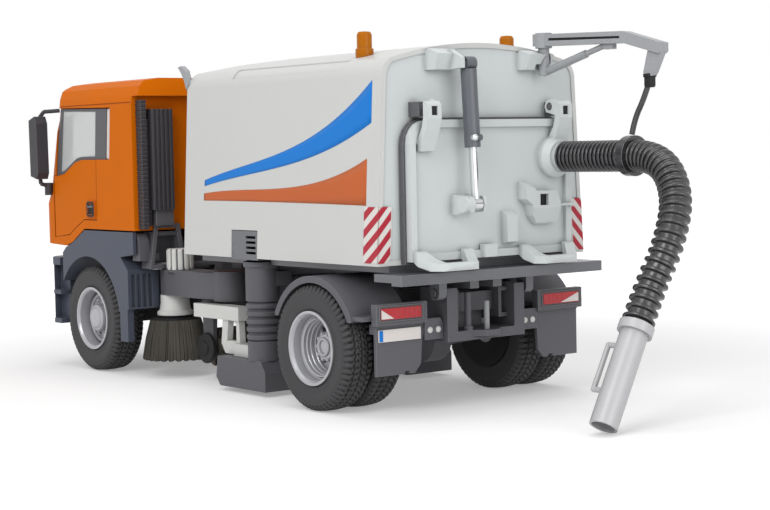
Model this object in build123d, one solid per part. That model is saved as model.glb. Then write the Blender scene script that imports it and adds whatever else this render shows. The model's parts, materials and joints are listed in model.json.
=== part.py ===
from build123d import *
from math import cos, pi, radians, sin, tan
import os

os.makedirs("parts", exist_ok=True)

# A toy street sweeper truck at about 1:16, in millimetres: +X forward, +Y to its left, +Z up.
# Places along the truck are measured from the rear axle. save() then shifts every piece by
# REAR_AXLE_X, so that the origin lies on the floor under the middle of the truck.
WHEELBASE = 244.0
REAR_AXLE_X = -82.2
TYRE_RADIUS = 33.5
RIM_RADIUS = 19.75
FRONT_TYRE_Y = (55.0, 75.0)
REAR_TYRES_Y = ((41.3, 59.3), (61.5, 79.5))
AXLE_RADIUS = 3.0
HUB_CLEARANCE = 0.4

RAIL_Y = (14.0, 20.0)
RAIL_Z = (46.0, 62.0)
FRAME_X = (-44.0, 288.0)

COUPLING_PIN = (-50.0, 1.5)

CAB_REAR_X = 183.5
CAB_SIDE_Y = 77.0
CAB_WALL = 2.6
CAB_PIVOT = (293.5, 66.0)
CAB_NOSE_X = 299.1
CAB_ROOF_Z = 183.0
DOOR_HINGE = (284.5, 75.7)
DOOR_GAP = 0.5

HOPPER_X = (-50.0, 135.0)
HOPPER_FLOOR_Z = 78.0
HOPPER_WALL = 2.6
TIP_PIVOT = (-47.0, 62.0)

TAILGATE_PIVOT = (-57.0, 158.0)
TAILGATE_Y = 56.0
TAILGATE_Z = (79.6, 151.5)
TAILGATE_X = (-57.5, -53.0)
# A yoke is a U in plan that slopes down from the gate's lower edge to its round tips.
YOKE_OUTSIDE = [(-57.5, 55), (-60, 55), (-66.5, 50.5), (-71.5, 46), (-72.5, 42.5), (-72.5, 27), (-71.5, 23.5),
                (-66.5, 20), (-60, 17), (-57.5, 17)]
YOKE_INSIDE = [(-50, 49), (-60, 48), (-66, 43.5), (-68.6, 41), (-68.6, 28.5), (-66, 26.5), (-60, 23.5),
               (-50, 23)]
YOKE_SIDE = [(-57.5, 85), (-60, 84.5), (-64, 81), (-67.5, 79.2), (-71.5, 79), (-73, 77), (-71.5, 75),
             (-66, 75), (-61, 77), (-57.5, 79.6)]

RAM_Y = 21.0
RAM_TOP = (-63.0, 180.0)
RAM_FOOT = (-67.0, 108.0)
BOOM_PIVOT = (-57.0, -37.7)

BROOM_AXIS = (184.0, 49.5)
BROOM_PIVOT = (136.0, 30.0)
BROOM_HOUSING_END = (126.0, 47.0)
BROOM_CAP = (172.0, 52.5)
ROLLER_AXIS = (146.0, 20.0)
DUCT_AXIS = (72.0, 60.0)

HOSE_RADIUS = 8.25
HOSE_RING_X = -115.0
# The hose's route from its port on the tailgate to the top of the suction pipe.
HOSE_PORT = (-66.0, -44.0, 131.0)
HOSE_ROUTE = [
    (-116.0, -44.0, 131.0),
    (-134.0, -44.0, 131.0),
    (-151.0, -39.0, 112.0),
    (-156.5, -26.0, 88.0),
    (-154.1, -14.2, 66.9),
    (-155.8, -3.6, 50.0),
]
PIPE_TOP = HOSE_ROUTE[-1]
PIPE_FOOT = (-160.5, 25.2, 4.0)
PIPE_RADIUS = 7.0
STRAP_RADIUS = 1.5
# The strap's route from the clip at the boom's tip to the ring round the hose.
STRAP_ROUTE = [(-129.0, -43.2, 170.3), (-124.5, -43.6, 160.5), (-117.0, -44.0, 149.8), (-115.0, -44.0, 142.0)]


def block(x, y, z):
    """A box between two values on each axis."""
    size = [abs(b - a) for a, b in (x, y, z)]
    middle = [(a + b) / 2 for a, b in (x, y, z)]
    return Pos(*middle) * Box(*size)


def prism(points, axis, span):
    """A closed outline, drawn square to the axis X, Y or Z, carried along it between two values."""
    low = span[0]
    way = {"X": (1, 0, 0), "Y": (0, 1, 0), "Z": (0, 0, 1)}[axis]
    corners = {"X": [(low, a, b) for a, b in points],
               "Y": [(a, low, b) for a, b in points],
               "Z": [(a, b, low) for a, b in points]}[axis]
    outline = Face(Wire.make_polygon(corners, close=True))
    return extrude(outline, amount=span[1] - span[0], dir=way)


def rod(start, end, radius, bore=0.0):
    """A round bar between two points, or a tube where it has a bore."""
    way = Vector(*end) - Vector(*start)
    plane = Plane(origin=start, z_dir=way)
    bar = Solid.make_cylinder(radius, way.length, plane)
    return bar - Solid.make_cylinder(bore, way.length, plane) if bore else bar


def cross_rod(x, z, radius, y, bore=0.0):
    """A round bar across the truck."""
    return rod((x, y[0], z), (x, y[1], z), radius, bore)


def turned(points, x, y, z):
    """A wheel-like piece: (radius, offset along Y) points turned about an axis across the truck."""
    outline = Face(Wire.make_polygon([(r, a, 0) for r, a in points], close=True))
    return Pos(x, y, z) * revolve(outline, Axis.Y, 360)


def upright(points, x, y):
    """A round standing piece: (radius, z) points turned about a vertical axis."""
    outline = Face(Wire.make_polygon([(r, 0, z) for r, z in points], close=True))
    return Pos(x, y, 0) * revolve(outline, Axis.Z, 360)


def ring_of_ribs(radius, depth, z, count):
    """The (radius, z) points of a corrugated tube's outside, upwards from z[0] to z[1]."""
    pitch = (z[1] - z[0]) / count
    points = []
    for i in range(count):
        low = z[0] + i * pitch
        points += [(radius - depth, low), (radius, low + 0.3 * pitch), (radius, low + 0.7 * pitch)]
    return points + [(radius - depth, z[1])]


def other_side(shape):
    """The same piece on the truck's right side."""
    return mirror(shape, about=Plane.XZ)


def joined(*shapes):
    """Several solids as one piece, fused where they meet."""
    whole = shapes[0]
    for shape in shapes[1:]:
        whole = whole + shape
    return whole


def both_sides(shape):
    """A piece of the left side and its twin on the right, as one shape."""
    return joined(shape, other_side(shape))


def save(name, shape):
    """Write one piece, shifted to the truck's own origin."""
    shifted = Pos(REAR_AXLE_X, 0, 0) * shape
    export_step(shifted, f"parts/{name}.step")


def chassis():
    """Two channel rails with cross members, the axles and the engine between them."""
    y0, y1 = RAIL_Y
    z0, z1 = RAIL_Z
    web = 2.0
    channel = [(y0, z0), (y1, z0), (y1, z0 + web), (y0 + web, z0 + web),
               (y0 + web, z1 - web), (y1, z1 - web), (y1, z1), (y0, z1)]
    frame = both_sides(prism(channel, "X", FRAME_X))
    for x in (-38.0, 48.0, 118.0, 178.0, 274.0):
        frame += block((x, x + 6), (-y0 - 1, y0 + 1), (50, 60))
    pivot_x, pivot_z = CAB_PIVOT
    cab_lug = [(pivot_x - 9, z0), (pivot_x, z0), (pivot_x + 4, pivot_z - 3), (pivot_x + 3, pivot_z + 3),
               (pivot_x - 4, pivot_z + 3)]
    frame += both_sides(prism(cab_lug, "Y", RAIL_Y))
    frame += both_sides(cross_rod(pivot_x, pivot_z, 2.0, (RAIL_Y[1], 29.0)))
    # a bracket over each rail holds the pin that a broom's arm swings on
    bx, by = BROOM_PIVOT
    bracket = block((bx - 5, bx + 5), (16, 22), (z1, 70)) + block((bx - 5, bx + 5), (16, by + 5), (67.5, 70))
    bracket += rod((bx, by, 49.7), (bx, by, 68), 2.5)
    frame += both_sides(bracket)
    save("chassis_frame", frame)

    front = cross_rod(WHEELBASE, TYRE_RADIUS, AXLE_RADIUS, (-63, 63))
    beam = [(WHEELBASE - 5, 29.5), (WHEELBASE + 5, 29.5), (WHEELBASE + 3.5, 38), (WHEELBASE - 3.5, 38)]
    front += prism(beam, "Y", (-49, 49))
    spring = [(WHEELBASE - 26, 44), (WHEELBASE, 39.5), (WHEELBASE + 26, 44), (WHEELBASE + 26, 46),
              (WHEELBASE, 43), (WHEELBASE - 26, 46)]
    spring_and_seat = prism(spring, "Y", (15, 19)) + block((WHEELBASE - 4, WHEELBASE + 4), (15, 19), (37, 41))
    save("front_axle", front + both_sides(spring_and_seat))

    rear = cross_rod(0, TYRE_RADIUS, AXLE_RADIUS, (-60, 60))
    casing = [(0, -38), (5, -38), (6, -14), (14, -6), (14, 6), (6, 14), (5, 38), (0, 38)]
    rear += turned(casing, 0, 0, TYRE_RADIUS)
    rear += both_sides(block((-4, 4), (15, 19), (37, RAIL_Z[0])))
    rear += rod((12, 0, TYRE_RADIUS), (46, 0, 44), 2.5)
    save("rear_axle", rear)

    save("engine_block", block((200, 258), (-13, 13), (38, 84)) + block((200, 258), (-28, 28), (64, 84)))


def front_corner():
    """The front bumper with its steps, and the mudguards round the front wheels."""
    arch_radius = 39.5
    front_x = 303.0
    outline = [(281, 28), (299, 28), (front_x, 34), (front_x, 66), (301.5, 71), (281, 71)]
    bumper = prism(outline, "Y", (-CAB_SIDE_Y, CAB_SIDE_Y))
    corner = 14.0
    plan = [(270, -78), (front_x - corner, -78), (front_x - 3, -70), (front_x, -56),
            (front_x, 56), (front_x - 3, 70), (front_x - corner, 78), (270, 78)]
    bumper = bumper & prism(plan, "Z", (20, 80))
    # hollow behind its face, so that it is a bumper shell and not a log
    bumper -= block((270, 299.5), (-64, 64), (20, 75))
    for top, bottom in ((66.0, 49.5), (47.0, 31.0)):
        bumper -= both_sides(block((279, 293), (70, 90), (bottom, top)))
    bumper -= block((300.5, 310), (-34, 34), (34, 44))
    bumper -= both_sides(block((300.8, 310), (44, 62), (48, 60)))
    bumper += both_sides(block((272, 300), (RAIL_Y[1], 24), (50, 58)))
    save("front_bumper", bumper)

    rear = 193.5
    guard = [(rear, 22), (204, 22), (204, 40), (284, 40), (284, 50), (277, 50), (277, 74), (272, 78),
             (263, 81), (246.5, 89.5), (202, 89.5), (202, 74), (rear, 66)]
    fender = prism(guard, "Y", (55, CAB_SIDE_Y))
    fender += prism([(186, 76), (202, 74), (203, 89.5), (186, 89.5)], "Y", (74.5, CAB_SIDE_Y))
    fender -= cross_rod(WHEELBASE, TYRE_RADIUS, arch_radius, (50, 80))
    fender -= block((276.5, 290), (50, 80), (20, 90))
    # the ribbed recess in the rear face, and the narrow flap at its outer edge
    fender -= block((190, rear + 1.6), (60, 74.5), (43, 63.5))
    for y in (63.0, 67.0, 71.0):
        fender += block((rear + 0.2, rear + 1.8), (y - 0.8, y + 0.8), (43, 63.5))
    fender -= block((190, 206), (50, 72.5), (20, 42))
    fender -= block((190, 195), (72, 80), (20, 42))
    fender += block((196, 204), (RAIL_Y[1], 56), (50, 58))
    fender += block((266, 271), (RAIL_Y[1], 56), (66, 70)) + block((266, 271), (RAIL_Y[1], 24), (50, 70))
    save("front_fenders", both_sides(fender))


def rear_end():
    """The rear mudguards, the tail of the frame with its coupling, and the lamp boards with mud flaps."""
    arch = 38.0
    guard = cross_rod(0, TYRE_RADIUS, arch, (41, 78)) - cross_rod(0, TYRE_RADIUS, arch - 2, (40, 79))
    guard &= block((-34, 34), (40, 79), (49, 73))
    lip = cross_rod(0, TYRE_RADIUS, arch, (76, 78)) - cross_rod(0, TYRE_RADIUS, arch - 3.5, (75, 79))
    guard += lip & block((-34, 34), (70, 79), (49, 73))
    guard += block((-43, -31), (42, 77), (50, 52))
    guard += block((-4, 4), (15, 43), (69.6, 71.4)) + block((-4, 4), (15, 20), (RAIL_Z[1], 71.4))
    save("rear_fenders", both_sides(guard))

    tail = both_sides(block((-50, -28), (20, 27), (38, 64)))
    tail += block((-50, -28), (-27, 27), (36, 41))
    tail += block((-30, -28), (-14, 14), (41, 60))
    tail += both_sides(block((-43, -39), (26, 70), (43, 48)))
    tail += both_sides(cross_rod(TIP_PIVOT[0], TIP_PIVOT[1], 2.0, (27, 34)))
    tail += rod((-47, 10.5, 41), (-47, 10.5, 61), 1.8) + rod((-47, 10.5, 40), (-47, 10.5, 43), 2.8)
    tongue = [(-44, -10), (-50, -9.5), (-55, -5), (-56.5, 0), (-55, 5), (-50, 9.5), (-44, 10)]
    tail += prism(tongue, "Z", (38, 41))
    save("tail_frame", tail)
    pin_x, pin_radius = COUPLING_PIN
    save("coupling_pin", rod((pin_x, 0, 41), (pin_x, 0, 56), pin_radius))

    board = block((-48, -43.5), (39, 72), (47.5, 58.5)) - block((-60, -47), (43, 69.5), (50.6, 56.4))
    flap_edge = [(38, 47.8), (38, 46), (40.5, 38), (41.5, 26), (45.5, 21.5), (48.5, 21.5), (49, 23), (52, 23),
                 (52.5, 21.5), (70.5, 21.5), (70.5, 47.8)]
    tab = [(27.2, 38), (27.2, 46), (29, 49), (39.5, 49), (39.5, 38)]
    flap = prism(flap_edge, "X", (-45.2, -43.2)) + prism(tab, "X", (-46.5, -43.2))
    save("lamp_boards", both_sides(board + flap))
    lens = prism([(43, 50.6), (69.5, 50.6), (69.5, 56.4), (43, 56.4)], "X", (-48.3, -47))
    save("tail_lenses", Compound(children=[lens.solid(), other_side(lens).solid()]))


def suction_gear():
    """The suction ducts and their mouths, and the light carrier beam of the brooms."""
    x, y = DUCT_AXIS
    collar = [(9.5, 53.5), (9.5, 72), (10.6, 73), (10.6, 75.5), (0, 75.5)]
    duct = upright([(0, 31)] + ring_of_ribs(9.5, 1.4, (31, 53), 5) + collar, x, y)
    duct += block((x - 9, x + 9), (y - 14, y), (62, 70))
    duct += block((x - 5, x + 5), (15, y - 10), (RAIL_Z[1], 66))
    save("suction_duct_left", duct)
    save("suction_duct_right", other_side(duct))

    mouth = [(x - 12, 3), (x + 34, 3), (x + 38, 8), (x + 36, 20), (x - 8, 20), (x - 12, 14)]
    shoe = prism(mouth, "Y", (34, 68)) - block((x - 8, x + 32), (38, 64), (0, 14))
    shoe += rod((x, y, 20), (x, y, 31), 9.0)
    cross = block((x + 2, x + 18), (-36, 36), (6, 18)) - block((x + 5, x + 15), (-40, 40), (0, 15))
    save("suction_nozzles", joined(shoe, other_side(shoe), cross))

    beam = block((96, 144), (52, 61), (40, 48))
    web = [(97, 40), (113, 48), (116, 26), (112, 20.5), (96, 20.5)]
    beam += prism(web, "Y", (56, 60)) - prism([(100, 38), (108, 42), (110, 28), (100, 28)], "Y", (50, 65))
    beam += block((82.5, 100), (50, 62), (20, 27)) - rod((x, y, 15), (x, y, 30), 9.8)
    beam += block((100, 112), (18, 54), (41, 45.6))
    carrier = joined(beam, other_side(beam), block((100, 112), (-18, 18), (41, 45.6)))
    save("broom_carrier", carrier)


def broom():
    """The round brooms on their swinging arms, and the roller brush between the wheels."""
    x, y = BROOM_AXIS
    hx, hy = BROOM_HOUSING_END
    px, py = BROOM_PIVOT
    housing = [(hx - 6, hy - 7), (hx + 18, hy - 8), (x - 2, y - 9), (x + 5, y - 7), (x + 8, y),
               (x + 5, y + 7), (x - 4, y + 9), (hx + 16, hy + 12), (hx, hy + 9)]
    arm = prism(housing, "Z", (50.5, 66)) + rod((hx, hy, 49.5), (hx, hy, 67), 9.5)
    arm += prism([(px - 5, py), (px + 5, py), (hx + 26, hy - 4), (hx, hy - 4)], "Z", (52, 62))
    arm += rod((px, py, 50), (px, py, 67), 5.2)
    arm -= rod((px, py, 48), (px, py, 68), 2.9)
    # the ribbed cap of the drive stands on the housing, and its bell-shaped motor hangs below
    cap_x, cap_y = BROOM_CAP
    cap = upright([(0, 65), (8, 65), (8, 78), (7.2, 79), (0, 79)], cap_x, cap_y)
    grooves, groove_ring = 12, 8.3
    for i in range(grooves):
        a = 2 * pi * (i + 0.5) / grooves
        groove_x, groove_y = cap_x + groove_ring * cos(a), cap_y + groove_ring * sin(a)
        cap -= rod((groove_x, groove_y, 67.5), (groove_x, groove_y, 80), 0.9)
    motor = upright([(0, 38), (11, 38), (11, 39.6), (9.4, 41), (8.6, 45), (8.6, 51), (0, 51)], x, y)
    arm = joined(arm, cap, motor)
    save("broom_arm_left", arm)
    save("broom_arm_right", other_side(arm))
    outside = [(0, 37.4), (9, 37.4), (13, 36), (15.2, 34.5), (20.8, 13), (17.5, 11.5), (9, 27), (0, 27)]
    disc = upright(outside, x, y)
    save("broom_disc_left", disc)
    save("broom_disc_right", other_side(disc))

    rx, rz = ROLLER_AXIS
    core = cross_rod(rx, rz, 7.0, (-46, 46))
    tufts = 10
    for i in range(tufts):
        tuft = prism([(5, -1.1), (11.5, -2.0), (11.5, 2.0), (5, 1.1)], "Y", (-45, 45))
        core += Pos(rx, 0, rz) * (Rot(0, 360 / tufts * i, 0) * tuft)
    core += cross_rod(rx, rz, 2.5, (-50, 50))
    save("roller_brush", core)


def roller_hangers():
    """The plate that carries the roller's left end from the rail."""
    rx, rz = ROLLER_AXIS
    hanger = [(rx - 4, rz - 4), (rx + 4, rz - 4), (rx + 6, 40), (rx + 6, 49), (rx - 8, 49), (rx - 6, 40)]
    plate = prism(hanger, "Y", (47, 50)) - cross_rod(rx, rz, 2.9, (46, 55))
    arm = block((rx - 4, rx + 6), (RAIL_Y[1], 50), (47, 49))
    return plate + arm


# The cab's form is the overlap of a side outline, a front outline and a plan that leans back with
# the windscreen. Its shell is that form less the same form drawn smaller by the wall's thickness.
def cab_nose(inset):
    """The cab's plan, with its tight front corners, carried up the three slopes of its front."""
    t = inset
    y = CAB_SIDE_Y - t
    slopes = [(60.0, CAB_NOSE_X), (106.0, CAB_NOSE_X), (114.3, CAB_NOSE_X - 5.6), (192.0, CAB_NOSE_X - 25.4)]
    nose = None
    for (z0, x0), (z1, x1) in zip(slopes, slopes[1:]):
        x = x0 - t
        half = [(x - 7, -y), (x - 3.2, -y + 1), (x - 1.2, -y + 3.6), (x, -y + 10)]
        plan = [(150, -y)] + half + [(x + 1.6, 0)] + [(a, -b) for a, b in reversed(half)] + [(150, y)]
        outline = Face(Wire.make_polygon([(a, b, z0) for a, b in plan], close=True))
        way = Vector(x1 - x0, 0, z1 - z0)
        part = extrude(outline, amount=way.length, dir=way.normalized())
        nose = part if nose is None else nose + part
    return nose


def cab_solid(inset):
    """The cab's outer form, or the same form drawn smaller all round."""
    t = inset
    top = CAB_ROOF_Z - t
    side = [(CAB_REAR_X + t, 90.5 + t), (CAB_REAR_X + t, 172 + t), (176.5 + t, 172 + t), (179 + t, top),
            (256, top), (266, top - 0.5), (273.8, top - 3.4), (277.2 - t, top - 7.6), (282, 168), (320, 168),
            (320, 80.9 + t), (271.5, 79 + t), (263, 81.5 + t), (246.5 + 0.4 * t, 90.5 + t)]
    y = CAB_SIDE_Y - t
    right = [(-y, 60), (-y, 168), (-y + 0.8, 172.5 - 0.3 * t), (-y + 3, 178 - 0.6 * t), (-y + 7, top - 1.5),
             (-y + 17, top)]
    front = right + [(-a, b) for a, b in reversed(right)]
    return prism(side, "Y", (-90, 90)) & prism(front, "X", (170, 310)) & cab_nose(t)


# The side window with the bright gap behind its post, its lower edge, and the door under it
SILL = [(247.7, 134.0), (256.0, 132.4), (263.0, 129.0), (271.0, 125.2), (277.0, 124.2)]
WINDOW = [(211.9, 134.0)] + SILL + [(282.6, 124.2), (279.6, 167.4), (209.2, 165.9)]
DOOR_REAR = [(230.3, 96.5), (229.0, 134.0)]
DOOR_FOOT = [(284.5, 84.5), (266.0, 86.5), (258.0, 91.0), (246.0, 96.5)]


def doorway():
    """The opening in the cab's side that the door fills, wider than the door by its gap."""
    g = DOOR_GAP
    foot = [(DOOR_HINGE[0] + 1.9, 84.2)] + [(x, z - g) for x, z in DOOR_FOOT[1:]]
    points = [(x - g, z) for x, z in DOOR_REAR] + SILL + [(DOOR_HINGE[0] + 1.9, 124.2)] + foot
    points[0] = (DOOR_REAR[0][0] - g, DOOR_REAR[0][1] - g)
    return prism(points, "Y", (CAB_SIDE_Y - CAB_WALL - 0.2, 95))


def door():
    """The door's panel, with its hinge rod and the two pins at its ends."""
    x, y = DOOR_HINGE
    outline = DOOR_REAR + SILL + [(x, 123.8)] + DOOR_FOOT
    panel = cab_solid(0.0) & prism(outline, "Y", (CAB_SIDE_Y - CAB_WALL, 95))
    panel += rod((x, y, 84.8), (x, y, 123.8), 1.3)
    panel += rod((x, y, 83.2), (x, y, 125.6), 0.7)
    panel += block((230.6, 241), (CAB_SIDE_Y - 1, CAB_SIDE_Y + 1.2), (98, 108))
    return panel - block((232.4, 239.2), (CAB_SIDE_Y + 0.4, 80), (99.8, 106.2))


def cab():
    """The cab's shell with its openings cut, and everything that is fixed in them."""
    shell = cab_solid(0.0) - cab_solid(CAB_WALL)
    windscreen = [(-66, 112), (66, 112), (63, 166), (-63, 166)]
    rear_window = prism([(-30, 126), (30, 126), (30, 160), (-30, 160)], "X", (175, 190))
    x, y = DOOR_HINGE
    side_cuts = doorway() + prism(WINDOW, "Y", (CAB_SIDE_Y - CAB_WALL - 0.2, 95))
    side_cuts += rod((x, y, 82.9), (x, y, 126.2), 0.95)
    # a groove round the roof, above the windows
    groove = block((184, 277.5), (CAB_SIDE_Y - 0.6, 80), (167.9, 168.6))
    shell = shell - both_sides(side_cuts + groove) - rear_window
    shell -= prism(windscreen, "X", (265, 310))
    lug_x, lug_z = CAB_PIVOT
    lug = [(lug_x - 9, 85), (lug_x - 4.4, lug_z + 2), (lug_x - 4, lug_z - 2.5), (lug_x - 1, lug_z - 4),
           (lug_x + 2.6, lug_z - 3.2), (lug_x + 4, lug_z), (lug_x + 3, lug_z + 3), (lug_x - 2, lug_z + 8),
           (lug_x - 1.5, 85)]
    shell += both_sides(prism(lug, "Y", (22, 28)) - cross_rod(lug_x, lug_z, 2.5, (20, 30)))
    save("cab_shell", shell)

    pane = [(-65.7, 112.3), (65.7, 112.3), (62.7, 165.7), (-62.7, 165.7)]
    save("windscreen", (cab_solid(0.8) - cab_solid(1.8)) & prism(pane, "X", (265, 310)))

    panel = prism([(-60, 83), (60, 83), (57, 105), (-57, 105)], "X", (290, 310))
    grille = panel & (cab_solid(-1.2) - cab_solid(0.0))
    for z in (87.0, 91.5, 96.0, 100.5):
        grille -= block((CAB_NOSE_X + 1, 310), (-52, 52), (z, z + 2.4))
    save("cab_grille", grille)

    rim = [(215.3, 165.4), (218.0, 134.0)] + SILL + [(282.0, 124.3), (279.1, 166.8)]
    light = [(228.8, 163.9), (231.2, 136.2), (248.5, 136.0), (255.1, 135.0), (261.5, 132.2), (270.4, 127.8),
             (276.4, 126.4), (271.3, 165.2)]
    inner_y = CAB_SIDE_Y - CAB_WALL
    frame = cab_solid(0.8) & (prism(rim, "Y", (inner_y, 95)) - prism(light, "Y", (60, 95)))
    pane = cab_solid(1.2) & prism(light, "Y", (inner_y + 0.6, 95))
    for shape, node in ((door(), "door"), (frame, "door_frame"), (pane, "door_pane")):
        save(f"{node}_left", shape)
        save(f"{node}_right", other_side(shape))

    save("air_intake", air_intake())
    save("mirror_left", cab_mirror())
    save("mirror_right", other_side(cab_mirror()))
    save("cab_interior", cab_interior())


def air_intake():
    """Behind the cab: a finely ribbed column, a plain one and a wide grooved panel."""
    z0, z1, pitch, depth = 91.5, 169.5, 2.4, 0.4
    teeth = [(0.0, z0)]
    for i in range(int((z1 - z0) / pitch)):
        z = z0 + i * pitch
        teeth += [(0.0, z + 1.3), (depth, z + 1.5), (depth, z + 2.2), (0.0, z + pitch)]
    teeth = teeth + [(0.0, z1)]
    rear = CAB_REAR_X - 0.1
    ribs = prism([(177 + a, z) for a, z in teeth] + [(rear, z1), (rear, z0)], "Y", (70.3, 74))
    ribs &= prism([(74 - a, z) for a, z in teeth] + [(70.3, z1), (70.3, z0)], "X", (176, rear))
    panel = block((177, rear), (57, 67), (103.6, 160))
    for y in (59.4, 62.0, 64.6):
        panel -= block((176, 177.7), (y - 0.4, y + 0.4), (106, 158))
    return joined(ribs, block((180, rear), (66.5, 70.5), (93, 158)), panel)


def cab_mirror():
    """A mirror's head on its two arms, with a small ball bracket on the cab's corner."""
    outline = [(286, 122), (294.4, 124), (295, 160), (287, 162.5), (284.6, 158), (284, 126)]
    head = prism(outline, "Y", (81, 89))
    arms = rod((279, 75, 166), (287, 82, 165.5), 1.3) + rod((287, 82, 165.5), (290, 85, 160), 1.3)
    arms += rod((290, 74.5, 116), (290, 84, 119), 1.3) + rod((290, 84, 119), (290, 85, 126), 1.3)
    bracket = rod((290.4, 78.3, 111.5), (290.4, 78.3, 119.5), 2.6)
    return joined(head, arms, bracket) - cab_solid(0)


def cab_interior():
    """Two seats, the dashboard with the steering wheel, and the tunnel between the seats."""
    floor_z = 90.5 + CAB_WALL
    seat = block((196, 222), (22, 56), (floor_z, 104)) + block((190, 200), (24, 54), (100, 106))
    seat += prism([(190, 104), (197, 104), (193, 146), (187.5, 146)], "Y", (24, 54))
    dash = prism([(268, 116), (285, 112), (288.5, 108), (286, 95), (276, 95)], "Y", (-66, 66))
    dash += block((272, 286), (-10, 10), (floor_z - 10, 98))
    wheel = Pos(262, 38, 121) * (Rot(0, 62, 0) * Torus(9, 1.1))
    column = rod((261.5, 38, 121), (275, 38, 111), 1.8)
    spokes = Pos(262, 38, 121) * (Rot(0, 62, 0) * Box(2, 17, 1.4))
    tunnel = block((CAB_REAR_X + CAB_WALL, 266), (-16, 16), (floor_z, 99))
    tunnel += block((255, 277), (-16, 16), (90, 98))
    return joined(seat, other_side(seat), tunnel, dash, column, wheel, spokes)


# The hopper is an arched section carried along the truck, cut by a side outline that slopes its front.
def hopper_section(inset, x):
    """The hopper's section across the truck: slanted sides, rounded shoulders and an arched roof."""
    t = inset
    floor = HOPPER_FLOOR_Z + t
    foot = (72 - t, floor)
    shoulder = (66.9 - t, 173)
    turn = (65.2 - 0.9 * t, 179.4 - 0.5 * t)
    knee = (61.5 - 0.7 * t, 183 - 0.7 * t)
    crown = (0, 191.5 - t)
    edges = [
        Line((x, *foot), (x, *shoulder)),
        ThreePointArc((x, *shoulder), (x, *turn), (x, *knee)),
        ThreePointArc((x, *knee), (x, *crown), (x, -knee[0], knee[1])),
        ThreePointArc((x, -knee[0], knee[1]), (x, -turn[0], turn[1]), (x, -shoulder[0], shoulder[1])),
        Line((x, -shoulder[0], shoulder[1]), (x, -foot[0], floor)),
        Line((x, -foot[0], floor), (x, *foot)),
    ]
    return Face(Wire([edge.edge() for edge in edges]))


def hopper_body(inset, x):
    """The section carried along X, with the roof sloping down towards the cab."""
    t = inset
    body = extrude(hopper_section(inset, x[0]), amount=x[1] - x[0], dir=(1, 0, 0))
    side = [(-60, 70), (HOPPER_X[1] - t, 70), (HOPPER_X[1] - t, 176), (HOPPER_X[1] - 3 - t, 183 - t),
            (112, 187.3 - t), (84, 189.6 - t), (54, 191 - t), (-60, 195)]
    return body & prism(side, "Y", (-90, 90))


def hopper():
    """The hopper's open-ended shell, its rear wall, its base with the platform, and its roof fittings."""
    x0, x1 = HOPPER_X
    outside = hopper_body(0, (x0, x1))
    shell = outside - hopper_body(HOPPER_WALL, (x0 - 1, x1))
    # a shallow band along the roof's sides, and the walled notch over each suction duct
    shell -= both_sides(block((-16, 88), (59.5, 70), (178, 190)) & (outside - hopper_body(0.8, (x0, x1))))
    x, y = DUCT_AXIS
    walls = block((x - 15, x + 15), (y - 16, 71.3), (HOPPER_FLOOR_Z, 95.5)) & hopper_body(0.3, (x0, x1))
    shell += both_sides(walls)
    shell -= both_sides(block((x - 13, x + 13), (y - 14, 80), (70, 93.5)))
    save("hopper_shell", shell)

    save("hopper_rear", hopper_rear())

    tx, tz = TAILGATE_PIVOT
    hinge = block((tx - 1, x0 + 0.6), (44.6, 50), (tz - 4.8, tz + 2.6)) + cross_rod(tx, tz, 1.7, (40.6, 49))
    save("hinge_blocks", Compound(children=[hinge.solid(), other_side(hinge).solid()]))

    base = block((-66, -44), (-70, 70), (70, 74)) + block((-46, 131), (-62, 62), (74, HOPPER_FLOOR_Z))
    base -= both_sides(rod((x, y, 60), (x, y, 90), 12.5))
    base += both_sides(block((-50, 128), (5, 11), (63, 74)))
    base += block((-66, -58), (-70, 70), (68.5, 70))
    lug_x, lug_z = TIP_PIVOT
    lug = block((lug_x - 4, lug_x + 4), (28, 33), (lug_z, 71)) + cross_rod(lug_x, lug_z, 4.0, (28, 33))
    base += both_sides(lug - cross_rod(lug_x, lug_z, 2.4, (20, 40)))
    base += both_sides(intake_hood())
    save("hopper_base", base)

    dome = [(0, 184), (4.8, 184), (4.8, 189.5), (4.0, 190), (4.0, 197), (3.2, 198.4), (0, 198.8)]
    lamp = upright(dome, -14, 50) - outside
    save("beacons", Compound(children=[lamp.solid(), other_side(lamp).solid()]))

    horn_edge = [(132.6, 177), (135.4, 174), (137.2, 179), (141, 184.5), (144, 187.2), (140.5, 188),
                 (135.5, 185)]
    horn = prism(horn_edge, "Y", (64.5, 67.5)) - outside
    save("hopper_horns", Compound(children=[horn.solid(), other_side(horn).solid()]))


def intake_hood():
    """The dark hood in the hopper's notch, open below over the duct, with slots in its rear half."""
    x, y = DUCT_AXIS
    hood = block((x - 12.6, x + 12.6), (y - 13.6, 71.2), (HOPPER_FLOOR_Z - 1, 93.1))
    hood -= block((x - 10.8, x + 10.8), (y - 11.8, 69.4), (60, 91.2))
    for i in range(4):
        z = 80.2 + 2.9 * i
        hood -= block((x - 10.8, x - 1), (68, 75), (z, z + 1.5))
    return hood


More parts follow.
